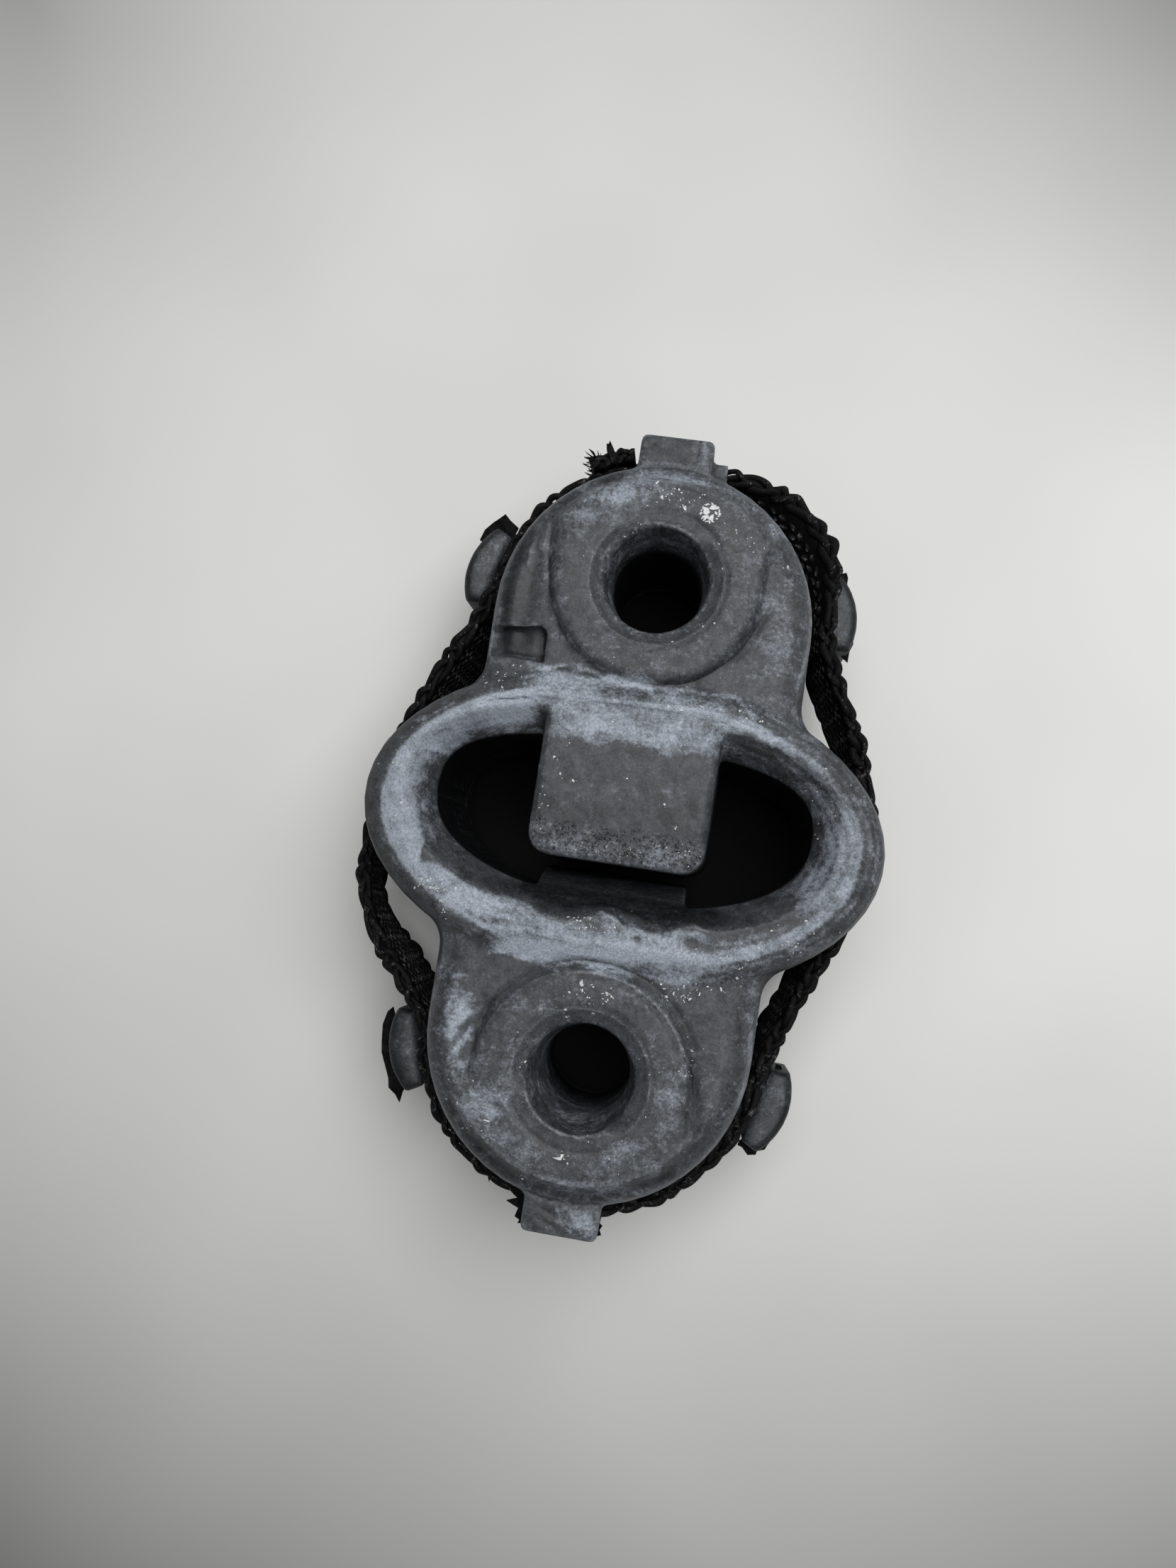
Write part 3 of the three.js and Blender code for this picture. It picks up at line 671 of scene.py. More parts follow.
@dataclass
class RubberMoulding:
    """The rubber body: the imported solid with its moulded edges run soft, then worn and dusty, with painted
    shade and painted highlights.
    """

    voxel: float = 0.36
    soften_rounds: int = 3
    triangles: int = 192000
    keep_levels: int = 10
    bore_y: float = 32.5
    boss_radius: float = 14.0
    boss_top: float = 35.35
    boss_merge: tuple[Place, Place] = ((37.6, 36.2), (33.0, 36.4))
    funnel_radius: float = 9.1
    lip_radius: float = 6.95
    lobe_y: float = 27.8
    lobe_radius: float = 21.3
    stud_angle: float = 15.0
    ring_half: Place = (34.5, 21.0)
    opening_level: float = 1.5
    opening_half: tuple[float, float, float] = (25.0, 9.6, 11.6)
    opening_power: Place = (2.9, 2.2)
    pocket: tuple[Place, Place] = ((-18.2, -12.6), (19.7, 23.9))
    pitted_rows: Place = (-4.9, -2.0)
    block_half: float = 11.8
    head_arc: float = 0.42
    most_dirt_and_shade: float = 0.97
    piece: bpy.types.Object | None = field(default=None, init=False)
    middle: float = field(default=0.0, init=False)

    LOWER_CREST = (
        (-22.0, -8.6), (-18.3, -10.3), (-15.0, -11.3), (-9.8, -11.5), (-7.0, -13.4), (-4.4, -13.5),
        (-2.4, -11.6), (1.5, -11.0), (3.9, -11.9), (5.9, -13.1), (8.4, -13.2), (10.2, -12.1),
        (12.7, -12.0), (14.5, -12.5), (17.0, -12.3), (21.1, -10.4), (25.7, -7.7),
    )
    DENTS = (
        (0.35, (-0.9, -50.3), (1.8, 0.45), -18),
        (0.3, (-1.0, -51.6), (1.4, 0.4), -25),
        (0.55, (-16.2, 30.0), (1.4, 7.0), 0),
        (0.3, (12.3, -13.4), (1.5, 0.7), 0),
        (0.22, (5.0, -14.0), (0.5, 0.4), 0),
    )
    BLOOM = (
        Patch((-6.5, 43.2), (6.0, 2.2), 28, 0.42),
        Patch((2.5, 46.4), (6.0, 1.1), -5, 0.35),
        Patch((13.0, 35.5), (1.6, 3.4), 5, 0.1),
        Patch((17.8, 26.0), (1.6, 6.0), 3, 0.26),
        Patch((14.6, 42.0), (2.4, 3.2), 48, 0.2),
        Patch((-16.6, 36.2), (0.45, 2.4), -12, 0.3),
        Patch((-10.2, 38.2), (2.6, 1.6), 20, 0.2),
        Patch((-13.5, 17.3), (5.0, 1.3), 4, 0.25),
        Patch((-4.0, 12.6), (6.0, 2.2), 0, 0.22),
        Patch((7.4, 13.2), (3.4, 1.6), 10, 0.22),
        Patch((-16.2, -26.0), (0.8, 2.2), -24, 0.6),
        Patch((-16.6, -28.4), (0.7, 1.9), -36, 0.45),
        Patch((-15.2, -30.4), (0.5, 2.2), -38, 0.4),
        Patch((-14.2, -33.0), (1.7, 1.0), 38, 0.4),
        Patch((-1.2, 18.7), (3.4, 0.9), 2, 0.35),
        Patch((-16.6, -22.2), (1.2, 0.6), 0, 0.4),
        Patch((-11.6, -37.2), (4.2, 3.0), 38, 0.42),
        Patch((-6.0, -42.2), (4.0, 1.7), -22, 0.24),
        Patch((12.3, -33.0), (1.6, 4.0), 4, 0.3),
        Patch((7.4, -40.6), (3.4, 1.8), 24, 0.28),
        Patch((3.0, -45.4), (8.0, 0.8), 2, 0.3),
        Patch((-8.6, -30.0), (1.3, 4.6), 8, 0.16),
        Patch((17.5, 12.9), (3.0, 0.9), -28, 0.3),
        Patch((-27.0, -3.0), (1.6, 9.0), 4, 0.25),
        Patch((2.9, -50.8), (2.2, 1.5), 0, 0.6),
        Patch((4.2, 51.2), (0.6, 1.8), 8, 0.4),
    )
    PALE_LINES = (
        PaleLine([(-18.6, 19.0), (-16.4, 19.8), (-14.0, 19.2), (-12.4, 19.0), (-9.4, 19.9), (-6.3, 19.4),
               (-2.0, 18.6), (1.6, 18.2)], 0.42, 0.5),
        PaleLine([(-27.6, 9.6), (-23.4, 12.4), (-19.4, 13.6), (-16.0, 14.6), (-10.8, 15.3), (-5.7, 15.5),
               (2.0, 15.8), (9.2, 15.9), (14.5, 14.9), (19.6, 13.4)], 0.3, 0.4),
        PaleLine([(10.8, 20.6), (14.2, 17.6), (16.8, 14.8)], 0.4, 0.3),
        # These four lines along the lobes' outer rims are painted highlights as well as dust
        PaleLine([(-20.6, 24.0), (-20.9, 28.0), (-20.4, 33.0), (-18.4, 38.6)], 0.3, 0.35),
        PaleLine([(20.6, 21.0), (21.6, 27.0), (21.3, 33.0), (19.2, 38.6)], 0.35, 0.35),
        PaleLine([(-19.4, -20.4), (-20.4, -25.0), (-20.6, -31.0), (-18.6, -37.4)], 0.3, 0.3),
        PaleLine([(20.9, -22.0), (21.4, -28.0), (20.8, -33.0)], 0.35, 0.35),
        PaleLine([(-17.9, -17.2), (-14.0, -15.2), (-8.4, -15.0), (-2.0, -15.4), (5.0, -14.6)], 0.4, 0.25),
        PaleLine([(-18.6, -22.0), (-17.0, -19.2), (-11.0, -18.4), (-4.6, -19.6)], 0.3, 0.3),
        PaleLine([(-15.0, -26.4), (-17.0, -30.2)], 0.5, 0.45),
        PaleLine([(-14.4, -28.6), (-16.6, -33.0)], 0.45, 0.4),
        PaleLine([(-17.2, -24.6), (-18.4, -28.0)], 0.5, 0.4),
    )
    BARE = (
        Patch((-10.0, 35.0), (2.2, 3.2), 0, 0.14),
        Patch((-16.2, 22.0), (3.2, 1.9), 0, 0.3),
        Patch((-16.7, 30.6), (1.4, 4.6), 0, 0.3),
        Patch((-12.6, -20.3), (6.0, 1.15), -4, 0.95),
        Patch((-3.0, -17.4), (3.4, 0.45), -4, 0.3),
        Patch((-13.6, -14.6), (4.0, 0.6), -6, 0.35),
        Patch((16.6, -25.0), (3.0, 6.0), 0, 0.1),
        Patch((-1.4, 8.2), (2.2, 1.3), 0, 0.4),
        Patch((7.4, 9.0), (3.0, 1.3), 10, 0.42),
        Patch((-8.6, 7.2), (2.4, 3.0), 0, 0.35),
        Patch((-11.2, 12.6), (1.0, 1.6), 15, 0.6),
        Patch((16.0, 12.6), (3.0, 0.55), -14, 0.6),
        Patch((0.5, 17.6), (7.0, 0.5), 2, 0.3),
        Patch((11.5, 17.6), (3.4, 0.8), 0, 0.3),
        Patch((12.2, -13.6), (1.7, 0.7), -12, 0.5),
        Patch((5.0, -14.0), (0.5, 0.35), 0, 0.7),
        Patch((-1.2, -13.0), (2.8, 0.55), -20, 0.35),
    )
    # Dark patches: dirt, and painted shade in the mould pocket, beside the upper lobe's left edge, at the
    # upper funnel's rim and on the opening's lower flare
    SMUDGES_AND_SHADE = (
        Patch((-16.7, 29.8), (1.5, 4.8), 0, 0.3),
        Patch((-0.9, 50.4), (5.0, 2.4), 0, 0.32),
        Patch((-16.2, 22.0), (3.2, 1.9), 0, 0.85),
        Patch((-16.9, 26.4), (1.6, 2.2), 0, 0.3),
        Patch((-13.3, 22.7), (0.4, 1.7), 10, 0.9),
        Patch((-1.6, -50.8), (2.3, 1.3), 10, 0.5),
        Patch((13.8, -9.3), (1.5, 0.9), 10, 0.5),
        Patch((-8.4, -34.2), (2.0, 2.6), 0, 0.1),
        Patch((-11.0, 12.8), (0.8, 1.6), 15, 0.5),
        Patch((12.9, 10.4), (0.7, 2.6), 0, 0.5),
        Patch((16.2, 12.2), (3.0, 0.35), -12, 0.55),
        Patch((-5.3, 41.2), (2.2, 0.55), 30, 0.4),
        Patch((-11.9, 37.2), (0.6, 0.4), 20, 0.6),
        Patch((-13.4, 39.7), (0.45, 0.3), 0, 0.5),
        Patch((-18.6, 28.6), (0.75, 5.5), 0, 0.5),
        Patch((-18.0, 35.8), (0.7, 2.6), -17, 0.4),
        Patch((13.3, 26.6), (1.0, 3.6), -28, 0.35),
        Patch((-11.6, -44.2), (3.8, 0.8), -38, 0.45),
        Patch((5.8, 40.2), (0.5, 0.3), 0, 0.4),
        Patch((-15.6, 23.0), (2.6, 0.7), 5, 0.6),
        Patch((-13.0, 21.8), (0.4, 2.0), 0, 0.8),
        Patch((-16.0, 19.4), (2.2, 0.3), 3, 0.4),
        Patch((0.0, -10.6), (13.0, 0.9), 0, 0.6),
    )

    def build(self, source: bpy.types.Object) -> bpy.types.Object:
        """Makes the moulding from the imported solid.

        Args:
            source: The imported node's object.

        Returns:
            The finished piece.
        """
        low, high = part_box(BODY_NODE)
        self.middle = (low.x + high.x) / 2 / MM
        bm = bmesh.new()
        bm.from_mesh(source.data)
        bmesh.ops.remove_doubles(bm, verts=bm.verts, dist=0.001 * MM)
        self.piece = object_from(bm, "rubber_moulding")
        self.remesh()
        self.merge_bosses()
        self.carve()
        self.thin_out()
        self.paint()
        shade_smooth(self.piece.data)
        return self.piece

    def remesh(self) -> None:
        """Gives the copy an even mesh and runs its edges soft."""
        remesh = self.piece.modifiers.new("even_mesh", "REMESH")
        remesh.mode = "VOXEL"
        remesh.voxel_size = self.voxel * MM
        smooth = self.piece.modifiers.new("soft_edges", "SMOOTH")
        smooth.factor = 0.5
        smooth.iterations = self.soften_rounds
        apply_modifiers(self.piece)

    def opening_gap(self, x: np.ndarray, y: np.ndarray) -> np.ndarray:
        """Distance outside the opening's parting edge, below 0 within the opening."""
        half, high, low = self.opening_half
        across, up = x - self.middle, y - self.opening_level
        power = np.where(up > 0, self.opening_power[0], self.opening_power[1])
        tall = np.where(up > 0, high, low)
        scale = ((np.abs(across) / half) ** power + (np.abs(up) / tall) ** power) ** (1 / power)
        return np.hypot(across, up) * (1 - 1 / np.maximum(scale, 0.05))

    def ring_inset(self, x: np.ndarray, y: np.ndarray) -> np.ndarray:
        """Distance inside the ring's outer oval."""
        across = x - self.middle
        scale = np.hypot(across / self.ring_half[0], y / self.ring_half[1])
        return np.hypot(across, y) * (1 / np.maximum(scale, 0.05) - 1)

    def lobe_inset(self, x: np.ndarray, y: np.ndarray) -> np.ndarray:
        """Distance inside a lobe's outer round."""
        return self.lobe_radius - np.hypot(x - self.middle, np.abs(y) - self.lobe_y)

    def bore_distance(self, x: np.ndarray, y: np.ndarray) -> np.ndarray:
        """Distance from the nearer bore's axis."""
        return np.hypot(x - self.middle, np.abs(y) - self.bore_y)

    def merge_bosses(self) -> None:
        """Fills the steps beside the bosses where they run out into the lobes' ends."""
        mesh = self.piece.data
        places = vertex_places(mesh) / MM
        x, y, z = places.T
        upper, lower = (np.where(x < self.middle, *sides) for sides in self.boss_merge)
        start = np.where(y > 0, upper, lower)
        share = rise(np.abs(y), start, start + 2.6) * rise(self.lobe_inset(x, y), 1.8, 4.2)
        places[:, 2] += share * rise(z, 33.0, 33.9) * np.maximum(0.0, self.boss_top - z)
        move_vertices(mesh, places * MM)

    def carve(self) -> None:
        """Moves the surface for what the mould and use left on it."""
        mesh = self.piece.data
        places, normals = vertex_places(mesh) / MM, vertex_normals(mesh)
        x, y, z = places.T
        front = rise(normals[:, 2], 0.3, 0.75) * rise(z, 27.0, 31.0)
        lift = 0.07 * ripple(x, y, 9.0) + 0.035 * ripple(x, y, 3.1, 2.0)
        for crease in self.creases():
            lift -= crease.depth * band(path_distance(x, y, crease.path), 0.0, crease.width)
        # The bores' ragged lips and the edges of their funnels
        radius = self.bore_distance(x, y)
        rough = ripple(x, y, 0.9, 1.0) * ripple(y, x, 1.3, 2.0)
        ragged = np.where(y > 0, 0.22 + 0.5 * rough, 0.08 + 0.25 * rough)
        lift += band(radius, self.lip_radius + 0.25, 0.45) * ragged
        lift -= 0.2 * band(radius, self.funnel_radius + 0.1, 0.28)
        # Blisters, then dents
        bumpy = blob(x, y, (-11.0, 38.3), (2.4, 1.8)) + blob(x, y, (7.8, -21.8), (3.0, 1.6), -40)
        lift += 0.22 * bumpy * ripple(x, y, 1.2, 3.0)
        for depth, centre, reach, turn in self.DENTS:
            lift -= depth * blob(x, y, centre, reach, turn)
        places[:, 2] += front * lift
        self.shape_pocket(places)
        move_vertices(mesh, places * MM)

    def shape_pocket(self, places: np.ndarray) -> None:
        """Opens the mould pocket to the left and lets its floor rise towards the middle."""
        x, y, z = places.T
        (left, right), (low, high) = self.pocket
        lean = 0.12 * (y - low)
        inside = rise(x, left - 3.2, left - 1.8) * (1 - rise(x, right - 0.25 - lean, right + 0.1 - lean))
        inside *= rise(y, low - 0.15, low + 0.3) * (1 - rise(y, high - 0.3, high + 0.15)) * (z > 28.0)
        floor = 32.3 + 0.9 * rise(-(y - low), -1.6, 0.0) - 0.5 * rise(x, left + 3.0, right)
        floor -= 0.9 * (1 - rise(x, left - 1.6, left + 1.2))
        places[:, 2] += inside * np.minimum(0.0, floor - z)

    def creases(self) -> list[Crease]:
        """Grooves and ridges in the front face."""
        bore_low = (self.middle, -self.bore_y)
        return [
            Crease(arc_path(bore_low, self.boss_radius + 0.9, 22, 168), 0.35, 0.32),
            Crease(arc_path(bore_low, self.boss_radius - 1.1, 24, 100), 0.3, 0.3),
            Crease(arc_path(bore_low, self.boss_radius - 0.2, 24, 160), 0.35, -0.14),
            Crease([(14.0, -28.3), (15.2, -32.4), (15.9, -36.8)], 0.55, 0.5),
            Crease([(-12.4, -25.2), (-13.6, -29.3), (-14.0, -33.6)], 0.4, 0.3),
            Crease([(-14.4, 39.4), (-14.2, 34.7), (-13.2, 29.8), (-11.0, 24.8), (-7.0, 20.9), (-1.4, 19.0),
                    (2.5, 18.8), (7.6, 20.2), (12.4, 24.0), (15.4, 30.0)], 0.4, 0.3),
            Crease([(13.5, 24.9), (17.2, 28.0)], 0.3, 0.14),
            Crease([(-18.5, 13.6), (-12.0, 14.9), (-7.0, 15.2), (3.0, 15.2), (12.5, 15.0)], 0.24, 0.24),
            Crease([(-16.8, 32.5), (-16.7, 35.0), (-16.0, 38.0)], 0.3, -0.2),
            Crease([(-4.9, 50.9), (-3.4, 51.2), (-2.6, 51.7)], 0.18, 0.3),
            Crease([(3.5, 53.0), (3.2, 49.8)], 0.2, 0.3),
            Crease([(-12.7, -36.0), (-10.9, -36.6)], 0.2, 0.1),
            Crease([(-27.2, 3.4), (-27.4, 0.0), (-27.1, -3.0)], 0.3, 0.12),
        ]

    def thin_out(self) -> None:
        """Takes triangles away where the camera sees least: the rear and the deep walls."""
        mesh = self.piece.data
        group = self.piece.vertex_groups.new(name="keep")
        places, normals = vertex_places(mesh) / MM, vertex_normals(mesh)
        keep = rise(places[:, 2], 24.0, 31.0) * rise(normals[:, 2], -0.3, 0.4)
        for level in range(self.keep_levels + 1):
            members = np.flatnonzero(np.round(keep * self.keep_levels) == level)
            group.add(members.tolist(), level / self.keep_levels, "REPLACE")
        mesh.calc_loop_triangles()
        thin = self.piece.modifiers.new("thin_out", "DECIMATE")
        thin.ratio = min(1.0, self.triangles / len(mesh.loop_triangles))
        thin.vertex_group = "keep"
        thin.invert_vertex_group = True
        thin.vertex_group_factor = 1.0
        apply_modifiers(self.piece)
        self.piece.vertex_groups.clear()

    def measure(self, places: np.ndarray) -> Spots:
        """Works out the distances that wear, dirt, painted shade and painted highlights follow."""
        x, y, z = places.T
        return Spots(x, y, z, np.abs(x - self.middle), self.lobe_inset(x, y), self.ring_inset(x, y),
                     self.opening_gap(x, y), self.bore_distance(x, y))

    def paint(self) -> None:
        """Stores where bloom, dirt with painted shade, rubbed edges with painted highlights and pits lie."""
        mesh = self.piece.data
        at = self.measure(vertex_places(mesh) / MM)
        bend = bend_of_surface(mesh, 1)
        write_attribute(mesh, "dust", self.dust_amount(at, vertex_normals(mesh)))
        write_attribute(mesh, "edge", self.edge_wear_and_highlight(at, bend))
        write_attribute(mesh, "dirt_and_shade", self.dirt_and_shade_amount(at, bend))
        low, high = self.pitted_rows
        wavy = at.y + 0.8 * ripple(at.x, at.y, 4.0)
        pits = rise(at.y, low, low + 0.9) * (1 - rise(wavy, high, high + 2.2))
        block = (1 - rise(at.across, self.block_half - 1.2, self.block_half)) * rise(at.z, 34.0, 35.5)
        write_attribute(mesh, "pitting", 1.5 * pits * block)

    def above_crest(self, at: Spots) -> np.ndarray:
        """Distance above the wavy crest of the lower shoulder."""
        return at.y - np.interp(at.x, *np.array(self.LOWER_CREST).T)

    def edge_wear_and_highlight(self, at: Spots, bend: np.ndarray) -> np.ndarray:
        """How far the edges are rubbed light at each place, with a painted highlight along the lobes' outer
        rims.
        """
        edge = rise(-bend, 0.3, 1.3) * (0.35 + 0.65 * rise(at.z, 24.0, 30.0))
        lobe = rise(np.abs(at.y), 22.0, 25.0) * rise(at.z, 25.0, 28.0)
        # Painted highlight: a thin light line along the lobes' outer rims, and a fainter one further in on
        # the lower lobe
        edge += 0.75 * lobe * band(at.lobe, 0.3, 0.3)
        edge += 0.3 * lobe * band(at.lobe, 3.9, 0.3) * (at.y < 0)
        top = rise(at.z, 33.5, 35.0) * (np.abs(at.y) < 15.0)
        edge += 0.4 * top * band(at.gap, 3.4, 0.3) * (0.6 + 0.6 * ripple(at.x, at.y, 6.0))
        edge += 0.6 * top * band(at.ring, 3.4, 0.35) * (at.x < -14.0)
        return np.clip(edge, 0.0, 1.0)

    def ring_dust(self, at: Spots) -> np.ndarray:
        """Bloom on the ring: its crest, the flare into the opening and fine streaks that run round."""
        left = (at.x < self.middle).astype(float)
        crest = np.where(left > 0, 0.86 * rise(at.ring, 2.9, 3.8), 0.2 + 0.55 * band(at.ring, 4.4, 0.9))
        flare = 0.28 + 0.72 * rise(at.gap, 0.4, 3.4) - 0.5 * left * (1 - rise(at.gap, 2.8, 4.2))
        dust = crest * np.where(at.y > 6.0, 0.45 + 0.4 * left + 0.3 * flare, flare)
        dust += 0.3 * (at.ring > 5.5) * (at.y < 9.0) * rise(at.y, -9.0, -5.0)
        streaks = np.sin(2 * math.pi * at.ring / 1.2 + 1.6 * ripple(at.x, at.y, 12.0, 3.0))
        dust += 0.12 * streaks * rise(at.ring, 0.8, 2.0)
        return dust + 0.12 * (1 - left) * rise(at.gap, 0.1, 0.5) * (1 - rise(at.gap, 2.4, 3.6))

    def dust_amount(self, at: Spots, normals: np.ndarray) -> np.ndarray:
        """How thick the pale bloom lies at each place."""
        x, y = at.x, at.y
        wander = ripple(x, y, 9.0)
        facing = rise(np.abs(normals[:, 2]), 0.2, 0.7)
        middle = (1 - rise(np.abs(y) + 0.5 * wander, 18.4, 19.6)) * facing
        ring = rise(at.across, 11.0, 16.0)
        shoulder = 0.46 + 0.06 * rise(-y, 12.5, 14.0) + 0.52 * band(y - 0.1 * x, -16.5, 1.0)
        dust = middle * (ring * self.ring_dust(at) + (1 - ring) * shoulder) + 0.14 * (1 - facing)
        # The stop block is barer, apart from its lower rows
        block = 1 - rise(at.across, self.block_half + 0.2, self.block_half + 1.0)
        block *= (1 - rise(y + 1.2 * wander, 9.2, 10.6)) * rise(y, -9.0, -6.0)
        dust -= 0.5 * block * middle
        dust += 0.3 * block * middle * (1 - rise(y + 0.4 * wander, -2.4, -0.2))
        # So is the slope between the opening and the lower crest
        within = rise(self.above_crest(at), -0.25, 0.45) * (1 - rise(y, -7.0, -5.0))
        dust *= 1 - 0.85 * within * (np.abs(x) < 24.0)
        for patch in self.BLOOM:
            dust += patch.over(x, y)
        for patch in self.BARE:
            dust -= patch.over(x, y)
        uneven = (0.8 + 0.7 * ripple(x, y, 2.2, 5.0)) * (at.z > 29.0)
        # Pale lines of dust, with painted highlights along the lobes' rims
        for line in self.PALE_LINES:
            dust += line.strength * band(path_distance(x, y, line.path), 0.0, line.width) * uneven
        lobe = rise(np.abs(y), 18.0, 21.0)
        dust += 0.03 + 0.1 * lobe * (at.across < 30.0)
        dust -= 0.12 * lobe * band(at.bore, 8.3, 1.0)
        return np.clip(dust, 0.0, 1.1)

    def lobe_shade_and_scabs(self, at: Spots) -> np.ndarray:
        """Painted shade along the lobes' rounded edges, more on the upper lobe's left side and towards the
        lower lobe's bottom, and dirt in scabs on the bores' lips.
        """
        lobe = (np.abs(at.y) > self.lobe_y - 8.0) & (at.z > 26.0)
        # Painted shade on the rounded edges, strongest where they turn away from the light above
        lower = 0.4 + 0.6 * rise(-at.y, 34.0, 42.0) * (at.x < 14.0)
        turned = np.where(at.y > 0, 0.15 + 0.6 * (at.x < -6.0), lower)
        dirt_and_shade = lobe * band(at.lobe, 1.9, 0.75) * turned * (0.75 + 0.35 * ripple(at.x, at.y, 7.0))
        scab = band(at.bore, self.lip_radius, 0.55) * (at.z > 31.0)
        return dirt_and_shade + scab * (0.08 + 0.5 * ripple(at.x, at.y, 1.1, 4.0))

    def opening_shade_and_dirt(self, at: Spots) -> np.ndarray:
        """Dark round the opening: on its ridge, painted shade on the slope above the lower crest, and dirt
        with painted shade on the ring's left flank.
        """
        ridge = (at.across < 11.5) * rise(-at.y, 5.7, 6.3) * (1 - rise(-at.y, 10.2, 10.9))
        ridge *= 1 - rise(at.z, 33.2, 34.2)
        slope = rise(self.above_crest(at), 0.0, 1.6) * (1 - rise(at.y, -9.6, -8.4))
        slope *= (at.across < 22.0) * (at.z > 26.0) * (1 - 0.6 * rise(at.across, 12.0, 22.0))
        outer = (1 - rise(at.ring, 0.6, 3.0)) * (np.abs(at.y) < 14.0) * (at.z > 20.0)
        outer *= (at.x < 0) * (0.8 + 0.5 * ripple(at.x, at.y, 5.0))
        return 0.55 * ridge + 0.62 * slope + 0.42 * outer

    def head_and_flank_shade(self, at: Spots) -> np.ndarray:
        """Painted shade on the stud heads over an uneven darkening, deepest at their ends and outline, and
        painted shade with dirt on the ring's flanks, more of it further down.
        """
        turn = np.degrees(np.arctan2(np.abs(at.y) - self.lobe_y, at.across))
        along = np.abs(turn - self.stud_angle) * self.head_arc
        heads = (at.lobe < -2.6) * (at.across > 15.0) * (np.abs(at.y) > 22.0)
        bowed = 6.9 - 1.9 * (along / 5.8) ** 2 + at.lobe
        outline = np.where((at.x < 0) & (at.y < 0), 1.7, 0.75)
        ends = 0.6 * rise(along, 4.0, 5.0) + 0.85 * (1 - rise(bowed, 0.7 * outline, 1.2 * outline))
        dirt_and_shade = heads * (0.14 + 0.3 * ripple(at.x, at.y, 3.0, 2.0) + ends)
        flanks = (at.lobe < -4.2) * (np.abs(at.y) < 22.0)
        low_down = 0.5 * (1 - rise(at.z, 17.0, 26.0))
        return dirt_and_shade + flanks * (0.22 + 0.25 * ripple(at.x, at.y, 4.0, 2.0) + low_down)

    def hollow_painted_shade(self, at: Spots) -> np.ndarray:
        """Painted shade deep in the bores and the opening, clear of the stop ridge."""
        fading = np.where(at.y > 0, rise(at.z, 25.0, 30.5), rise(at.z, 14.5, 22.0))
        bores = (at.bore < self.lip_radius + 0.3) * rise(at.z, 3.0, 11.0) * (1 - fading)
        on_ridge = (at.across < 11.4) * (at.y < -5.2) * (at.y > -12.0) * (at.z > 22.0)
        deep = rise(at.z, 4.6, 6.4) * (1 - rise(at.z, 30.1, 31.2))
        return bores + (at.gap < 0.9) * (1 - on_ridge) * deep

    def dirt_and_shade_amount(self, at: Spots, bend: np.ndarray) -> np.ndarray:
        """How dark each place is painted: dirt, painted shade, and darkening in hollows and along grooves.
        """
        # Darker in concave places
        dirt_and_shade = 0.75 * rise(bend, 0.25, 1.6)
        dirt_and_shade += self.lobe_shade_and_scabs(at) + self.opening_shade_and_dirt(at) + self.head_and_flank_shade(at)
        # Dark patches: dirt, and painted shade in the mould pocket, beside the upper lobe's left edge, at
        # the upper funnel's rim and on the opening's lower flare
        for patch in self.SMUDGES_AND_SHADE:
            dirt_and_shade += patch.over(at.x, at.y) * (at.z > 27.0)
        uneven = (at.z > 30.0) * (0.7 + 0.6 * ripple(at.x, at.y, 5.0))
        # Darker along the grooves
        for crease in self.creases():
            line = band(path_distance(at.x, at.y, crease.path), 0.0, 0.7 * crease.width)
            dirt_and_shade += max(0.0, min(0.6, 2.0 * crease.depth)) * line * uneven
        return np.maximum(np.clip(dirt_and_shade, 0.0, self.most_dirt_and_shade), 1.4 * self.hollow_painted_shade(at))

    def dress(self, finish: WeatheredRubber) -> None:
        """Gives the piece its finish and its place on the frame."""
        self.piece.data.materials.clear()
        self.piece.data.materials.append(finish.build())
        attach(self.piece, "root")
        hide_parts(BODY_NODE)


# The woven strap


@dataclass(frozen=True)
class FreeSide:
    """Play of the strap at the ring on one side, and its slack towards each lobe."""

    ring_play: float
    upper_slack: float
    lower_slack: float


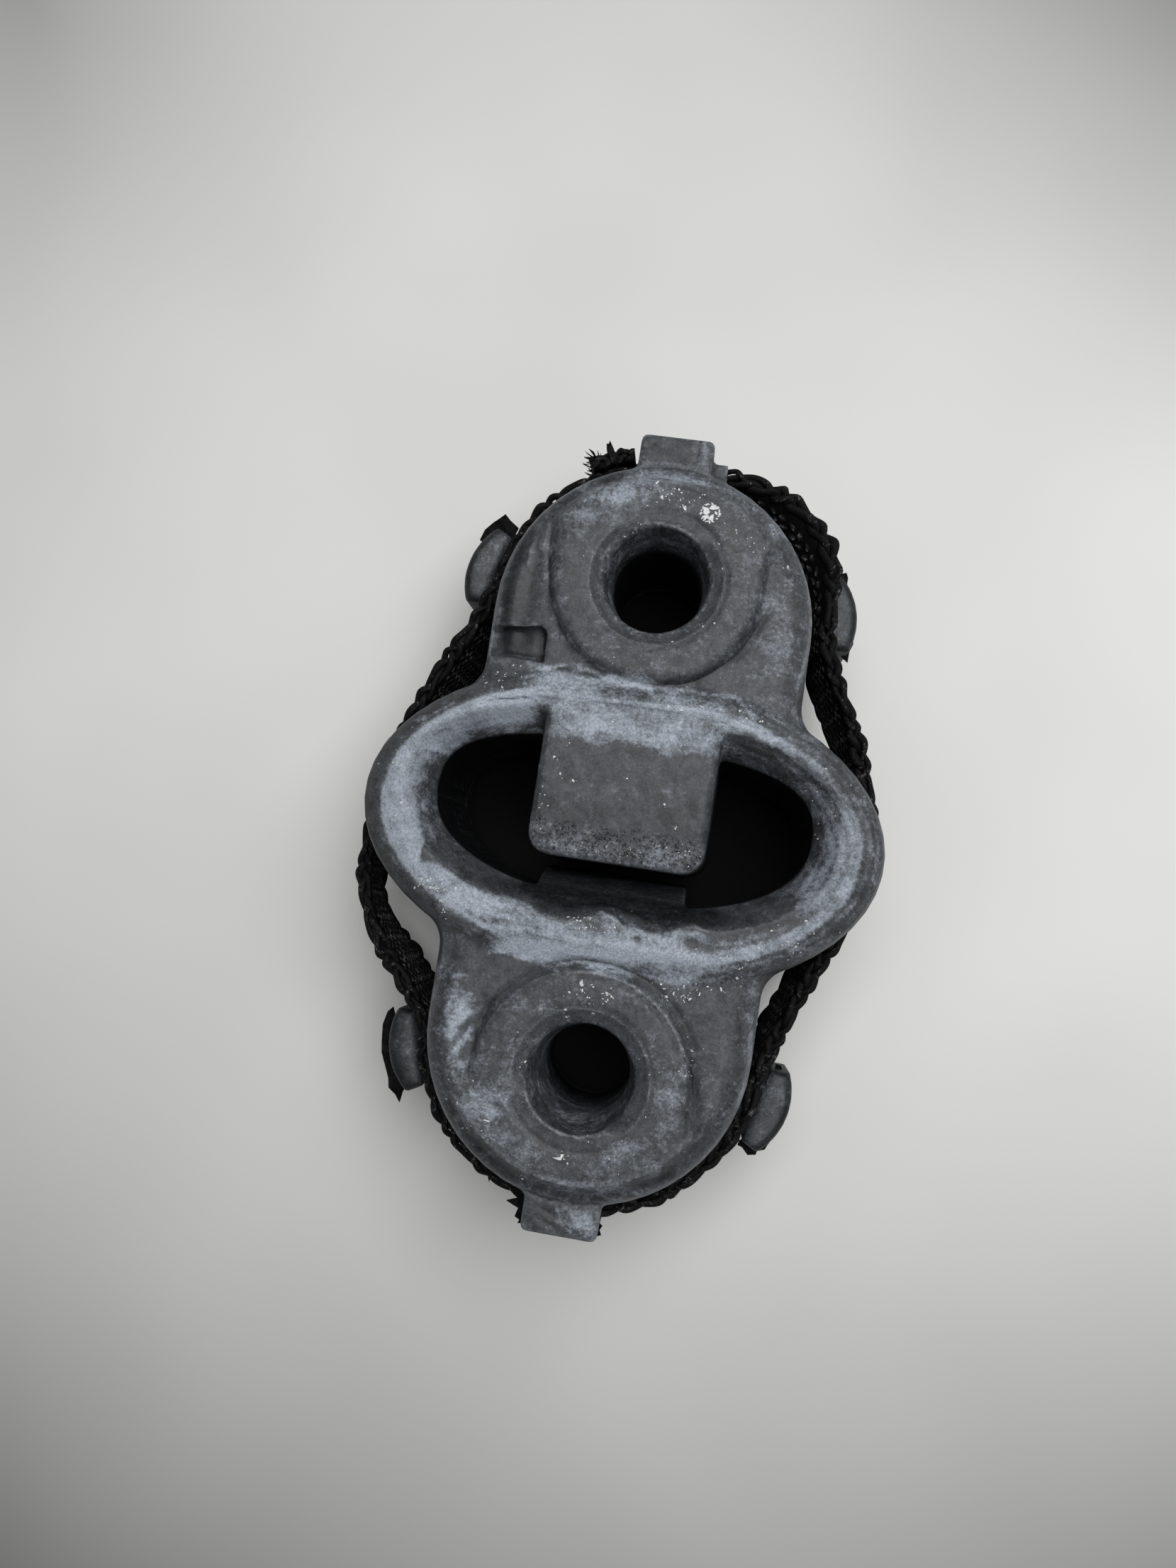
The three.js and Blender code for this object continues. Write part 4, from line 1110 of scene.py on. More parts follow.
@dataclass
class StrapRoute:
    """Middle line of the strap: round each lobe, then free across the waists and the ring."""

    middle: float
    lobe_y: float = 27.8
    radius: float = 22.75
    ring_x: float = 33.35
    lobe_leave: float = 6.0
    arc_points: int = 12
    span_points: int = 5
    slack_reach: float = 0.85
    right: FreeSide = FreeSide(0.0, 0.0, -1.9)
    left: FreeSide = FreeSide(0.9, -1.0, 2.6)
    fine_steps: int = 24
    look: float = 0.6
    line: np.ndarray = field(init=False)
    travel: np.ndarray = field(init=False)

    def __post_init__(self) -> None:
        """Works out the route's line and how far along it each of its points lies."""
        line = self.smooth(self.controls())
        line[:, 0] += self.middle
        self.line = np.vstack([line, line[:1]])
        steps = np.hypot(*np.diff(self.line, axis=0).T)
        self.travel = np.concatenate([[0.0], np.cumsum(steps)])

    @property
    def length(self) -> float:
        """Length once round."""
        return float(self.travel[-1])

    def lobe_turn(self, side: int) -> list[Place]:
        """Points round one lobe, counter-clockwise."""
        start = self.lobe_leave if side > 0 else 180 + self.lobe_leave
        return arc_path((0.0, side * self.lobe_y), self.radius, start, start + 180 - 2 * self.lobe_leave,
                        self.arc_points)

    def free_span(self, ring_play: float, slack: float) -> list[Place]:
        """Points from the ring's middle level towards one lobe."""
        points = []
        for i in range(self.span_points):
            share = 1 - (i + 0.5) / (self.span_points + 0.5)
            sag = slack * math.sin(math.pi * min(1.0, share / self.slack_reach))
            reach = self.ring_x + ring_play - self.radius
            x = self.radius + reach * math.sin(math.pi * share / 2) + sag
            points.append((x, self.lobe_y * (1 - share)))
        return points

    def controls(self) -> list[Place]:
        """The points that the route runs through."""

        def span(side: int, end: int) -> list[Place]:
            """Points from the ring towards one lobe, on one side."""
            play = self.right if side > 0 else self.left
            slack = play.upper_slack if end > 0 else play.lower_slack
            return [(side * x, end * y) for x, y in self.free_span(play.ring_play, slack)]

        return [
            *self.lobe_turn(1),
            *span(-1, 1)[::-1],
            *span(-1, -1),
            *self.lobe_turn(-1),
            *span(1, -1)[::-1],
            *span(1, 1),
        ]

    def smooth(self, controls: list[Place]) -> np.ndarray:
        """A smooth closed line through the controls, with gentle speed at uneven gaps."""
        points = np.array(controls)
        before, after, beyond = np.roll(points, 1, 0), np.roll(points, -1, 0), np.roll(points, -2, 0)

        def gap(a: np.ndarray, b: np.ndarray) -> np.ndarray:
            """Root of the distance between neighbours."""
            return np.sqrt(np.hypot(*(b - a).T))[:, None]

        g0, g1, g2 = gap(before, points), gap(points, after), gap(after, beyond)
        leave = ((points - before) / g0 - (after - before) / (g0 + g1) + (after - points) / g1) * g1
        reach = ((after - points) / g1 - (beyond - points) / (g1 + g2) + (beyond - after) / g2) * g1
        runs = []
        for i in range(self.fine_steps):
            t = i / self.fine_steps
            cubic = 2 * points - 2 * after + leave + reach
            square = 3 * after - 3 * points - 2 * leave - reach
            runs.append(points + t * leave + t * t * square + t**3 * cubic)
        return np.stack(runs, 1).reshape(-1, 2)

    def at(self, travel: np.ndarray) -> tuple[np.ndarray, np.ndarray]:
        """Places and outward directions at distances along the route.

        Args:
            travel: Distances, which may run past the start.

        Returns:
            Rows of places and rows of unit directions.
        """
        wrapped = np.mod(travel, self.length)

        def point(distance: np.ndarray) -> np.ndarray:
            """Places at distances from the route's start."""
            return np.stack([np.interp(distance, self.travel, self.line[:, k]) for k in (0, 1)], 1)

        ahead, behind = (np.mod(wrapped + step, self.length) for step in (self.look, -self.look))
        along = point(ahead) - point(behind)
        along /= np.maximum(np.hypot(*along.T), 1e-9)[:, None]
        return point(wrapped), np.stack([along[:, 1], -along[:, 0]], 1)

    def travel_at(self, angle: float, side: int) -> float:
        """Distance along the route where it passes an angle, in degrees, round one lobe."""
        x = self.middle + self.radius * math.cos(math.radians(angle))
        y = side * self.lobe_y + self.radius * math.sin(math.radians(angle))
        return float(self.travel[np.argmin(np.hypot(self.line[:, 0] - x, self.line[:, 1] - y))])


@dataclass(frozen=True)
class Stretch:
    """A stretch of the strap: where it starts, how long it is and how far out it lies."""

    start: float
    length: float
    lift: float = 0.0
    raised: float = 0.0


@dataclass
class WovenStrap:
    """The strap: a close weave between two plaited edges, wrapped along its route."""

    route: StrapRoute
    width: float = 18.0
    web_thickness: float = 1.25
    web_half: float = 7.2
    web_step: float = 1.2
    web_sides: int = 28
    plait_centre: float = 7.75
    plait_wave: float = 9.0
    plait_reach: Place = (0.66, 0.36)
    strand_radius: float = 0.5
    strand_sides: int = 8
    strand_step: float = 0.42
    row: float = 1.7
    column: float = 0.86
    grain: tuple[float, float, float] = (0.86, 0.3, 0.33)
    grain_tilt: float = 13.0
    lean_start: float = 0.66
    lean_curve: float = 1.15
    waist_lean: float = 0.9
    rear_kick: tuple[float, float, float] = (2.3, -13.0, 9.0)
    ring_half_height: float = 21.0
    lobe_radius: float = 21.3
    bulge: tuple[float, float, float] = (5.0, 0.7, 0.52)
    middle_height: float = 18.0
    neck: Place = (6.7, 7.7)
    neck_length: float = 6.0
    seam: float = 0.004
    stud_angle: float = 15.0

    def lean(self, place: np.ndarray) -> np.ndarray:
        """How far the front edge leans out at places of the route."""
        most, angle, spread = self.bulge
        turn = np.arctan2(place[:, 1] - self.route.lobe_y, place[:, 0] - self.route.middle)
        out = most * band(turn, angle, spread)
        near = np.abs(np.abs(place[:, 1]) - self.ring_half_height) / (self.lobe_radius / 2)
        return out + self.waist_lean * np.maximum(0.0, 1 - near)

    def wrap(self, mesh: bpy.types.Mesh, stretch: Stretch) -> None:
        """Lays a flat mesh along the route.

        Args:
            mesh: Mesh with X along, Y outwards and Z up, in millimetres.
            stretch: The stretch that it belongs to.
        """
        flat = vertex_places(mesh)
        place, out = self.route.at(stretch.start + flat[:, 0])
        level = flat[:, 2] / self.width
        edge = np.clip((level + 0.5 - self.lean_start) / (1 - self.lean_start), 0.0, 1.1)
        shift = flat[:, 1] + stretch.lift + self.lean(place) * edge**self.lean_curve
        most, centre, spread = self.rear_kick
        kick = most * band(place[:, 1], centre, spread) * (place[:, 0] < self.route.middle)
        shift += kick * (0.5 - level)
        height = self.middle_height + flat[:, 2] + stretch.raised
        move_vertices(mesh, np.column_stack([place + out * shift[:, None], height]) * MM)

    def rolled(self, stretch: Stretch, step: float, sides: int) -> tuple[bmesh.types.BMesh, np.ndarray]:
        """A sheet to roll into a tube along a stretch.

        Args:
            stretch: The stretch.
            step: Length of each face along it.
            sides: Number of faces round it.

        Returns:
            The sheet, and a row for each vertex: distance along and turn from 0 to 1.
        """
        bm = bmesh.new()
        stations = max(2, round(stretch.length / step))
        bmesh.ops.create_grid(bm, x_segments=stations, y_segments=sides, size=0.5)
        places = np.array([v.co[:2] for v in bm.verts]) + 0.5
        places[:, 0] *= stretch.length
        return bm, places

    def web(self, stretch: Stretch) -> bpy.types.Object:
        """Makes the plain core of the weave."""
        bm, places = self.rolled(stretch, self.web_step, self.web_sides)

        def squared(value: np.ndarray) -> np.ndarray:
            """Turns a round into a rounded rectangle."""
            return np.sign(value) * np.abs(value) ** 0.35

        turn = 2 * math.pi * places[:, 1]
        across = squared(np.cos(turn)) * self.web_half
        out = squared(np.sin(turn)) * self.web_thickness / 2
        for vertex, along, side, up in zip(bm.verts, places[:, 0], out, across):
            vertex.co = (along, side, up)
        core = object_from(bm, "weave_core")
        write_attribute(core.data, "crest", np.zeros(len(core.data.vertices)))
        self.wrap(core.data, stretch)
        self.close(core)
        return core

    def close(self, piece: bpy.types.Object) -> None:
        """Merges a wrapped piece's seams, caps its open ends and turns its faces out."""
        bm = bmesh.new()
        bm.from_mesh(piece.data)
        bmesh.ops.remove_doubles(bm, verts=bm.verts, dist=self.seam * MM)
        close_up(bm)
        bm.to_mesh(piece.data)
        bm.free()

    def cut_slots(self, core: bpy.types.Object) -> None:
        """Cuts the core where the four stud necks pass through it."""
        bm = bmesh.new()
        for matrix in self.stud_places():
            box = Matrix.Diagonal((self.neck_length, *self.neck, 1.0))
            bmesh.ops.create_cube(bm, size=1.0, matrix=matrix @ box)
        bmesh.ops.scale(bm, verts=bm.verts, vec=(MM, MM, MM))
        cutter = object_from(bm, "neck_cutter")
        cut = core.modifiers.new("slots", "BOOLEAN")
        cut.operation = "DIFFERENCE"
        cut.object = cutter
        cut.solver = "EXACT"
        apply_modifiers(core)
        bpy.data.objects.remove(cutter)

    def stud_places(self) -> list[Matrix]:
        """Where each stud's neck crosses the strap, with X pointing out, in millimetres."""
        angles = [(self.stud_angle, 1), (180 - self.stud_angle, 1), (180 + self.stud_angle, -1),
                  (-self.stud_angle, -1)]
        found = []
        for angle, side in angles:
            centre = Matrix.Translation((self.route.middle, side * self.route.lobe_y, self.middle_height))
            turn = Matrix.Rotation(math.radians(angle), 4, "Z")
            found.append(centre @ turn @ Matrix.Translation((self.route.radius, 0.0, 0.0)))
        return found

    def grains(self, stretch: Stretch) -> bpy.types.Object:
        """Makes the rows of slanted stitches on both faces."""
        rows = max(1, round(stretch.length / self.row))
        pitch = stretch.length / rows
        bm = bmesh.new()
        columns = int(2 * self.web_half / self.column) - 1
        half, wide, thick = self.grain
        for face in (1, -1):
            for i in range(columns):
                up = (i - (columns - 1) / 2) * self.column
                tilt = math.radians(self.grain_tilt if i % 2 else -self.grain_tilt)
                matrix = (
                    Matrix.Translation((pitch * (0.25 + 0.5 * (i % 2)), face * self.web_thickness / 2, up))
                    @ Matrix.Rotation(tilt, 4, "Y")
                    @ Matrix.Diagonal((half, thick, wide, 1.0))
                )
                bmesh.ops.create_uvsphere(bm, u_segments=5, v_segments=3, radius=1.0, matrix=matrix)
        tile = object_from(bm, "stitches")
        size = len(tile.data.vertices) // (2 * columns)
        array = tile.modifiers.new("rows", "ARRAY")
        array.count = rows
        array.use_relative_offset = False
        array.use_constant_offset = True
        array.constant_offset_displace = (pitch, 0.0, 0.0)
        apply_modifiers(tile)
        flat = vertex_places(tile.data)
        height = np.abs(flat[:, 1]) - self.web_thickness / 2
        # Painted highlight: every second row of stitches has a brighter crest
        rubbed = np.mod(np.floor(flat[:, 0] / pitch), 2) == 0
        write_attribute(tile.data, "crest", rise(height, 0.05, 0.9 * thick) * (0.9 + 2.1 * rubbed))
        flat[:, 1] *= 1 + 0.1 * ripple(flat[:, 0], flat[:, 2], 5.0)
        flat[:, 0] += 0.16 * ripple(flat[:, 0], flat[:, 2], 7.0, 1.0)
        move_vertices(tile.data, flat)
        self.wrap(tile.data, stretch)
        self.clear_necks(tile, size)
        return tile

    def clear_necks(self, tile: bpy.types.Object, size: int) -> None:
        """Removes the stitches that a stud's neck would cross."""
        places = vertex_places(tile.data) / MM
        centres = places.reshape(-1, size, 3).mean(1)
        struck = np.zeros(len(centres), bool)
        for matrix in self.stud_places():
            local = np.column_stack([centres, np.ones(len(centres))]) @ np.array(matrix.inverted()).T
            reach = (self.neck_length / 2, self.neck[0] / 2 + 0.8, self.neck[1] / 2 + 0.4)
            struck |= (np.abs(local[:, :3]) < reach).all(1)
        bm = bmesh.new()
        bm.from_mesh(tile.data)
        gone = np.repeat(struck, size)
        bmesh.ops.delete(bm, geom=[v for v, out in zip(bm.verts, gone) if out], context="VERTS")
        bm.to_mesh(tile.data)
        bm.free()

    def plaits(self, stretch: Stretch, edge: int) -> list[bpy.types.Object]:
        """Makes the three strands of one plaited edge.

        Args:
            stretch: The stretch.
            edge: 1 for the front edge and -1 for the rear one.

        Returns:
            One piece for each strand.
        """
        waves = max(1, round(stretch.length / self.plait_wave))
        strands = []
        for number in range(3):
            bm, places = self.rolled(stretch, self.strand_step, self.strand_sides)
            share = places[:, 0] / stretch.length
            turn = 2 * math.pi * (waves * share + number / 3) + 0.7 * loop_wave(share, 1.3 + edge)
            out = self.plait_reach[0] * np.sin(turn) * (1 + 0.25 * loop_wave(share, 2.1, (11, 19, 31)))
            up = self.plait_reach[1] * np.sin(2 * turn) + 0.12 * loop_wave(share, 0.7 + number, (17, 29, 37))
            ring = 2 * math.pi * places[:, 1]
            thick = self.strand_radius * (1 + 0.22 * loop_wave(share, 3.1 + number, (23, 43, 61)))
            side = out + thick * np.cos(ring)
            high = up + 0.85 * thick * np.sin(ring)
            for vertex, along, far, top in zip(bm.verts, places[:, 0], side, high):
                vertex.co = (along, far, edge * (self.plait_centre + top))
            strand = object_from(bm, "strand")
            # Painted highlight on the strand's upper and outer sides, stored as its crest
            lit = rise(np.sin(ring), 0.1, 0.75) * rise(up, -0.25, 0.2)
            lit += 0.5 * rise(np.cos(ring), 0.5, 0.9)
            write_attribute(strand.data, "crest", np.clip(lit, 0.0, 1.0))
            self.wrap(strand.data, stretch)
            self.close(strand)
            strands.append(strand)
        return strands

    def build(self) -> list[bpy.types.Object]:
        """Makes the whole strap.

        Returns:
            The weave, the plaited edges and the loose end.
        """
        loop = Stretch(0.0, self.route.length)
        core = self.web(loop)
        self.cut_slots(core)
        weave = join([core, self.grains(loop)], "strap_weave")
        edges = join([*self.plaits(loop, 1), *self.plaits(loop, -1)], "strap_edges")
        return [weave, edges, LooseEnd(self).build()]


@dataclass
class LooseEnd:
    """The strap's lapped end beside the upper tab, with its frayed yarns and a stiff fold."""

    strap: WovenStrap
    start_angle: float = 103.8
    lap_length: float = 5.9
    second_length: float = 2.6
    lift: float = 1.75
    raised: float = 1.6
    fold_angle: float = 111.5
    fold_place: Place = (25.3, 24.2)
    fold_size: tuple[float, float, float] = (3.0, 0.95, 7.5)
    yarns: int = 22
    yarn_radius: float = 0.17
    yarn_reach: Place = (0.9, 2.3)
    yarn_heights: Place = (20.0, 28.3)
    yarn_steps: int = 7
    seed: int = 11

    def build(self) -> bpy.types.Object:
        """Makes the loose end."""
        start = self.strap.route.travel_at(self.start_angle, 1)
        lap = Stretch(start, self.lap_length, self.lift, self.raised)
        second = Stretch(start, self.second_length, self.lift + 1.0, self.raised - 0.8)
        pieces = [self.strap.web(lap), self.strap.web(second)]
        pieces += self.strap.plaits(lap, 1)
        pieces += [self.fold(), self.frayed(start + self.lap_length)]
        return join(pieces, "strap_end")

    def fold(self) -> bpy.types.Object:
        """Makes the stiff fold that stands out of the lap."""
        turn = math.radians(self.fold_angle)
        out, up = self.fold_place
        centre = Vector((self.strap.route.middle, self.strap.route.lobe_y, up))
        centre += Vector((math.cos(turn), math.sin(turn), 0.0)) * out
        matrix = (
            Matrix.Translation(centre)
            @ Matrix.Rotation(turn + 0.06, 4, "Z")
            @ Matrix.Diagonal((*self.fold_size, 1.0))
        )
        bm = bmesh.new()
        bmesh.ops.create_cube(bm, size=1.0, matrix=matrix)
        bmesh.ops.subdivide_edges(bm, edges=bm.edges, cuts=3, use_grid_fill=True)
        for vertex in bm.verts:
            local = matrix.inverted() @ vertex.co
            pinch = 1 - 0.75 * max(0.0, local.x + 0.1) ** 1.2
            local.y = local.y * pinch + 0.12 * math.sin(7 * local.z)
            local.x += 0.1 * math.sin(9 * local.z + 5 * local.y)
            vertex.co = (matrix @ local) * MM
        bmesh.ops.recalc_face_normals(bm, faces=bm.faces)
        piece = object_from(bm, "fold")
        # Even crest: a moderate painted highlight with wear over the fold
        write_attribute(piece.data, "crest", np.full(len(piece.data.vertices), 0.5))
        return piece

    def frayed(self, travel: float) -> bpy.types.Object:
        """Makes the yarns that stick out of the cut end."""
        rng = random.Random(self.seed)
        place, out = self.strap.route.at(np.array([travel, travel + 1.0]))
        outward = Vector((*out[0], 0.0))
        onward = Vector((*(place[1] - place[0]), 0.0)).normalized()
        base = Vector((*place[0], 0.0)) + outward * (self.lift + 0.1)
        bm = bmesh.new()
        for _ in range(self.yarns):
            foot = base + outward * rng.uniform(-0.5, 0.8) - onward * rng.uniform(0.2, 1.4)
            foot.z = rng.uniform(*self.yarn_heights)
            aim = (outward * rng.uniform(0.15, 1.1) + onward * rng.uniform(-0.35, 0.9)
                   + Vector((0, 0, rng.uniform(-0.25, 0.35)))).normalized()
            curl = Vector([rng.uniform(-1, 1) for _ in range(3)])
            reach = rng.uniform(*self.yarn_reach)
            radius = self.yarn_radius * rng.uniform(0.7, 1.5)
            matrix = Matrix.Translation(foot * MM) @ aim.to_track_quat("Z", "Y").to_matrix().to_4x4()
            ring = bmesh.ops.create_circle(bm, cap_ends=True, segments=5, radius=radius * MM,
                                           matrix=matrix)["verts"]
            centre = foot.copy()
            for step in range(self.yarn_steps):
                ring = grow(bm, [f for f in ring[0].link_faces if len(f.verts) == 5])
                aim = (aim + 0.5 * curl * math.sin(0.9 * step + curl.x)).normalized()
                move = aim * reach / self.yarn_steps
                bmesh.ops.translate(bm, verts=ring, vec=move * MM)
                centre += move
                thin = 0.93 if step < self.yarn_steps - 2 else 0.6
                space = Matrix.Translation(-centre * MM)
                bmesh.ops.scale(bm, verts=ring, vec=(thin, thin, thin), space=space)
        close_up(bm)
        piece = object_from(bm, "frayed_yarns")
        # Even crest: painted highlight with wear over the frayed yarns
        write_attribute(piece.data, "crest", np.full(len(piece.data.vertices), 0.8))
        return piece


# Paint and grit on the front


@dataclass(frozen=True)
class Scatter:
    """A scatter of small chips over an oval: its centre, half lengths, number and sizes."""

    centre: Place
    reach: Place
    count: int
    size: Place = (0.14, 0.3)


@dataclass
class StuckChips:
    """Chips of white paint and grit that stick to the front, and a spot of paint in a ring."""

    thickness: float = 0.07
    above: float = 60.0
    lowest: float = 25.0
    least_facing: float = 0.25
    seed: int = 5
    ring_centre: Place = (6.2, 42.0)
    ring_radius: float = 1.18
    ring_width: float = 0.4
    ring_pieces: int = 17
    spot_chips: tuple[tuple[float, float, float], ...] = (
        (1.2, 0.75, 1.0), (2.9, 0.7, 1.05), (4.0, 0.8, 0.8), (5.2, 0.6, 1.1), (0.1, 0.8, 0.7),
    )
    chips: tuple[tuple[float, float, float, float], ...] = (
        (-1.3, 45.2, 0.4, 1.5), (1.7, 44.6, 0.4, 1.4), (2.1, 44.2, 0.3, 1.5), (-0.3, 43.3, 0.6, 1.3),
        (2.1, 43.3, 0.34, 1.6), (2.8, 42.2, 0.62, 1.2), (-2.6, 39.4, 0.3, 1.0), (7.9, 38.1, 0.3, 1.3),
        (17.2, 36.7, 0.5, 1.5), (8.8, 27.6, 0.34, 1.2), (7.4, 27.0, 0.28, 1.0), (3.8, 24.5, 0.26, 1.4),
        (-3.4, 21.4, 0.42, 1.2), (1.2, 44.6, 0.3, 1.0), (0.7, 43.0, 0.3, 1.6), (3.3, 43.1, 0.24, 2.0),
        (-3.5, 38.4, 0.22, 1.4), (-2.4, -25.1, 0.32, 1.6), (-6.8, -31.6, 0.42, 1.2),
        (-5.6, -34.5, 0.3, 1.3), (11.8, -20.2, 0.5, 1.3), (12.7, -20.5, 0.66, 1.3),
        (9.7, -20.7, 0.6, 1.4), (10.6, -20.1, 0.4, 1.4), (16.4, -18.7, 0.5, 1.6), (18.2, -16.9, 0.6, 1.3),
        (2.2, -21.3, 0.5, 1.5), (-1.1, -20.5, 0.8, 1.3), (-0.9, -21.5, 0.45, 1.6),
        (-0.7, -42.5, 1.1, 1.3), (-0.3, -42.1, 0.5, 1.2), (-10.3, -39.4, 0.42, 2.2),
        (-10.9, -37.4, 0.2, 7.0), (-10.4, -38.6, 0.16, 8.0), (-2.6, -24.2, 0.4, 1.3),
        (0.9, -24.1, 0.2, 4.0), (13.9, -26.9, 0.3, 1.5), (12.6, -29.4, 0.3, 2.0), (9.4, -35.7, 0.22, 2.4),
        (-4.9, -46.2, 0.3, 1.4), (22.6, 4.6, 0.5, 1.6), (26.0, 2.2, 0.4, 1.8), (20.3, -12.7, 0.45, 1.8),
        (24.8, -11.8, 0.5, 1.4), (-19.6, 15.9, 0.5, 2.2), (-17.2, 15.4, 0.4, 1.8), (4.6, 15.9, 0.6, 2.0),
        (6.3, 15.7, 0.4, 1.6), (8.8, 16.5, 0.4, 2.4), (12.4, 14.9, 0.24, 6.0), (-9.0, 7.4, 0.5, 1.3),
        (-7.9, 5.4, 0.44, 1.4), (-6.1, 4.7, 0.34, 1.6), (-7.3, 9.4, 0.3, 1.5), (0.7, 6.0, 0.3, 1.2),
        (-2.2, 12.9, 0.3, 1.0), (5.9, 3.4, 0.36, 1.3), (7.8, 0.8, 0.3, 1.2), (-15.6, -13.7, 0.4, 1.6),
        (-11.5, -14.0, 0.3, 1.5),
    )
    scatters: tuple[Scatter, ...] = (
        Scatter((0.5, 32.5), (7.5, 7.5), 26, (0.1, 0.24)),
        Scatter((1.5, 43.6), (3.4, 1.3), 14),
        Scatter((-22.4, -11.2), (1.9, 1.5), 26, (0.14, 0.36)),
        Scatter((-20.0, -13.4), (1.4, 2.2), 12, (0.12, 0.26)),
        Scatter((-1.4, -13.2), (3.2, 0.9), 26, (0.12, 0.34)),
        Scatter((0.6, -21.9), (2.6, 1.6), 16, (0.12, 0.3)),
        Scatter((12.5, -19.2), (5.0, 1.6), 22, (0.14, 0.34)),
        Scatter((15.0, -14.6), (6.0, 1.2), 14, (0.12, 0.28)),
        Scatter((0.5, -32.5), (8.4, 8.4), 22, (0.1, 0.22)),
        Scatter((-9.6, 2.4), (2.0, 3.4), 10, (0.12, 0.28)),
        Scatter((9.4, -2.0), (2.4, 2.4), 12, (0.1, 0.24)),
        Scatter((0.0, -3.0), (10.0, 1.4), 24, (0.1, 0.2)),
        Scatter((13.6, -28.0), (1.0, 5.0), 12, (0.12, 0.24)),
        Scatter((12.0, 41.0), (4.0, 4.0), 14, (0.12, 0.26)),
        Scatter((-17.0, 17.0), (3.0, 1.6), 14, (0.14, 0.34)),
        Scatter((14.0, 16.4), (5.0, 1.6), 16, (0.12, 0.3)),
        Scatter((26.0, 8.0), (3.0, 4.0), 12, (0.12, 0.28)),
        Scatter((24.0, -11.0), (4.0, 2.6), 18, (0.12, 0.28)),
        Scatter((-28.5, 4.0), (1.6, 6.0), 12, (0.12, 0.26)),
        Scatter((-12.0, -38.0), (4.0, 4.0), 16, (0.1, 0.24)),
        Scatter((7.0, -40.0), (6.0, 4.0), 10, (0.1, 0.22)),
    )

    def build(self, ground: bpy.types.Object) -> bpy.types.Object:
        """Makes the chips where straight lines from above meet the moulding.

        Args:
            ground: The moulding.

        Returns:
            All chips as one piece.
        """
        rng = random.Random(self.seed)
        tree = BVHTree.FromObject(ground, bpy.context.evaluated_depsgraph_get())
        bm = bmesh.new()
        for x, y, size, stretch in self.chips:
            self.chip(bm, tree, (x, y), 0.95 * size, 1.25 * stretch, rng)
            for _ in range(2):
                near = (x + rng.gauss(0, 0.9 * size), y + rng.gauss(0, 0.9 * size))
                self.chip(bm, tree, near, 0.3 * size, 1.6 * stretch, rng)
        for scatter in self.scatters:
            for _ in range(scatter.count):
                x = rng.gauss(scatter.centre[0], 0.55 * scatter.reach[0])
                y = rng.gauss(scatter.centre[1], 0.55 * scatter.reach[1])
                self.chip(bm, tree, (x, y), rng.uniform(*scatter.size), rng.uniform(1.0, 2.4), rng)
        for i in range(self.ring_pieces):
            turn = 2 * math.pi * (i + rng.uniform(-0.2, 0.2)) / self.ring_pieces
            place = self.in_ring(turn, self.ring_radius * rng.uniform(0.97, 1.03))
            self.chip(bm, tree, place, self.ring_width, 2.0, rng, turn + math.pi / 2)
        for turn, radius, size in self.spot_chips:
            self.chip(bm, tree, self.in_ring(turn, radius), size, 1.2, rng)
        close_up(bm)
        return object_from(bm, "stuck_chips")

    def in_ring(self, turn: float, radius: float) -> Place:
        """Place at a turn and a radius round the ring's centre."""
        x, y = self.ring_centre
        return x + radius * math.cos(turn), y + radius * math.sin(turn)

    def chip(self, bm: bmesh.types.BMesh, tree: BVHTree, place: Place, size: float, stretch: float,
             rng: random.Random, turn: float | None = None) -> None:
        """Adds one chip.

        Args:
            bm: Where the chip is made.
            tree: The surface that it sticks to.
            place: Its place across and along, in millimetres.
            size: Its mean width, in millimetres.
            stretch: How many times longer than wide it is.
            rng: Source of its odd outline.
            turn: Its turn, or none for any turn.
        """
        start = Vector((*place, self.above)) * MM
        hit, normal, _, _ = tree.ray_cast(start, Vector((0, 0, -1)))
        if hit is None or hit.z < self.lowest * MM or normal.z < self.least_facing:
            return
        turn = rng.uniform(0, 2 * math.pi) if turn is None else turn
        long = math.sqrt(stretch)
        matrix = (
            Matrix.Translation(hit)
            @ normal.to_track_quat("Z", "Y").to_matrix().to_4x4()
            @ Matrix.Rotation(turn, 4, "Z")
            @ Matrix.Diagonal((long, 1 / long, 1.0, 1.0))
        )
        made = bmesh.ops.create_circle(bm, cap_ends=True, segments=rng.choice((5, 6, 7)),
                                       radius=size / 2 * MM, matrix=matrix)["verts"]
        centre = Vector(hit)
        for vertex in made:
            vertex.co = centre + (vertex.co - centre) * rng.uniform(0.3, 1.35) - 0.02 * MM * normal
        top = grow(bm, list(made[0].link_faces))
        bmesh.ops.translate(bm, verts=top, vec=normal * (self.thickness * rng.uniform(0.7, 1.5) * MM))

    def dress(self, piece: bpy.types.Object, finish: PaleChip) -> None:
        """Gives the chips their finish and their place on the frame."""
        piece.data.materials.append(finish.build())
        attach(piece, "root")


@dataclass(frozen=True)
class Scrap:
    """A thin black scrap: its outline and its height, in millimetres."""

    height: float
    outline: tuple[Place, ...]


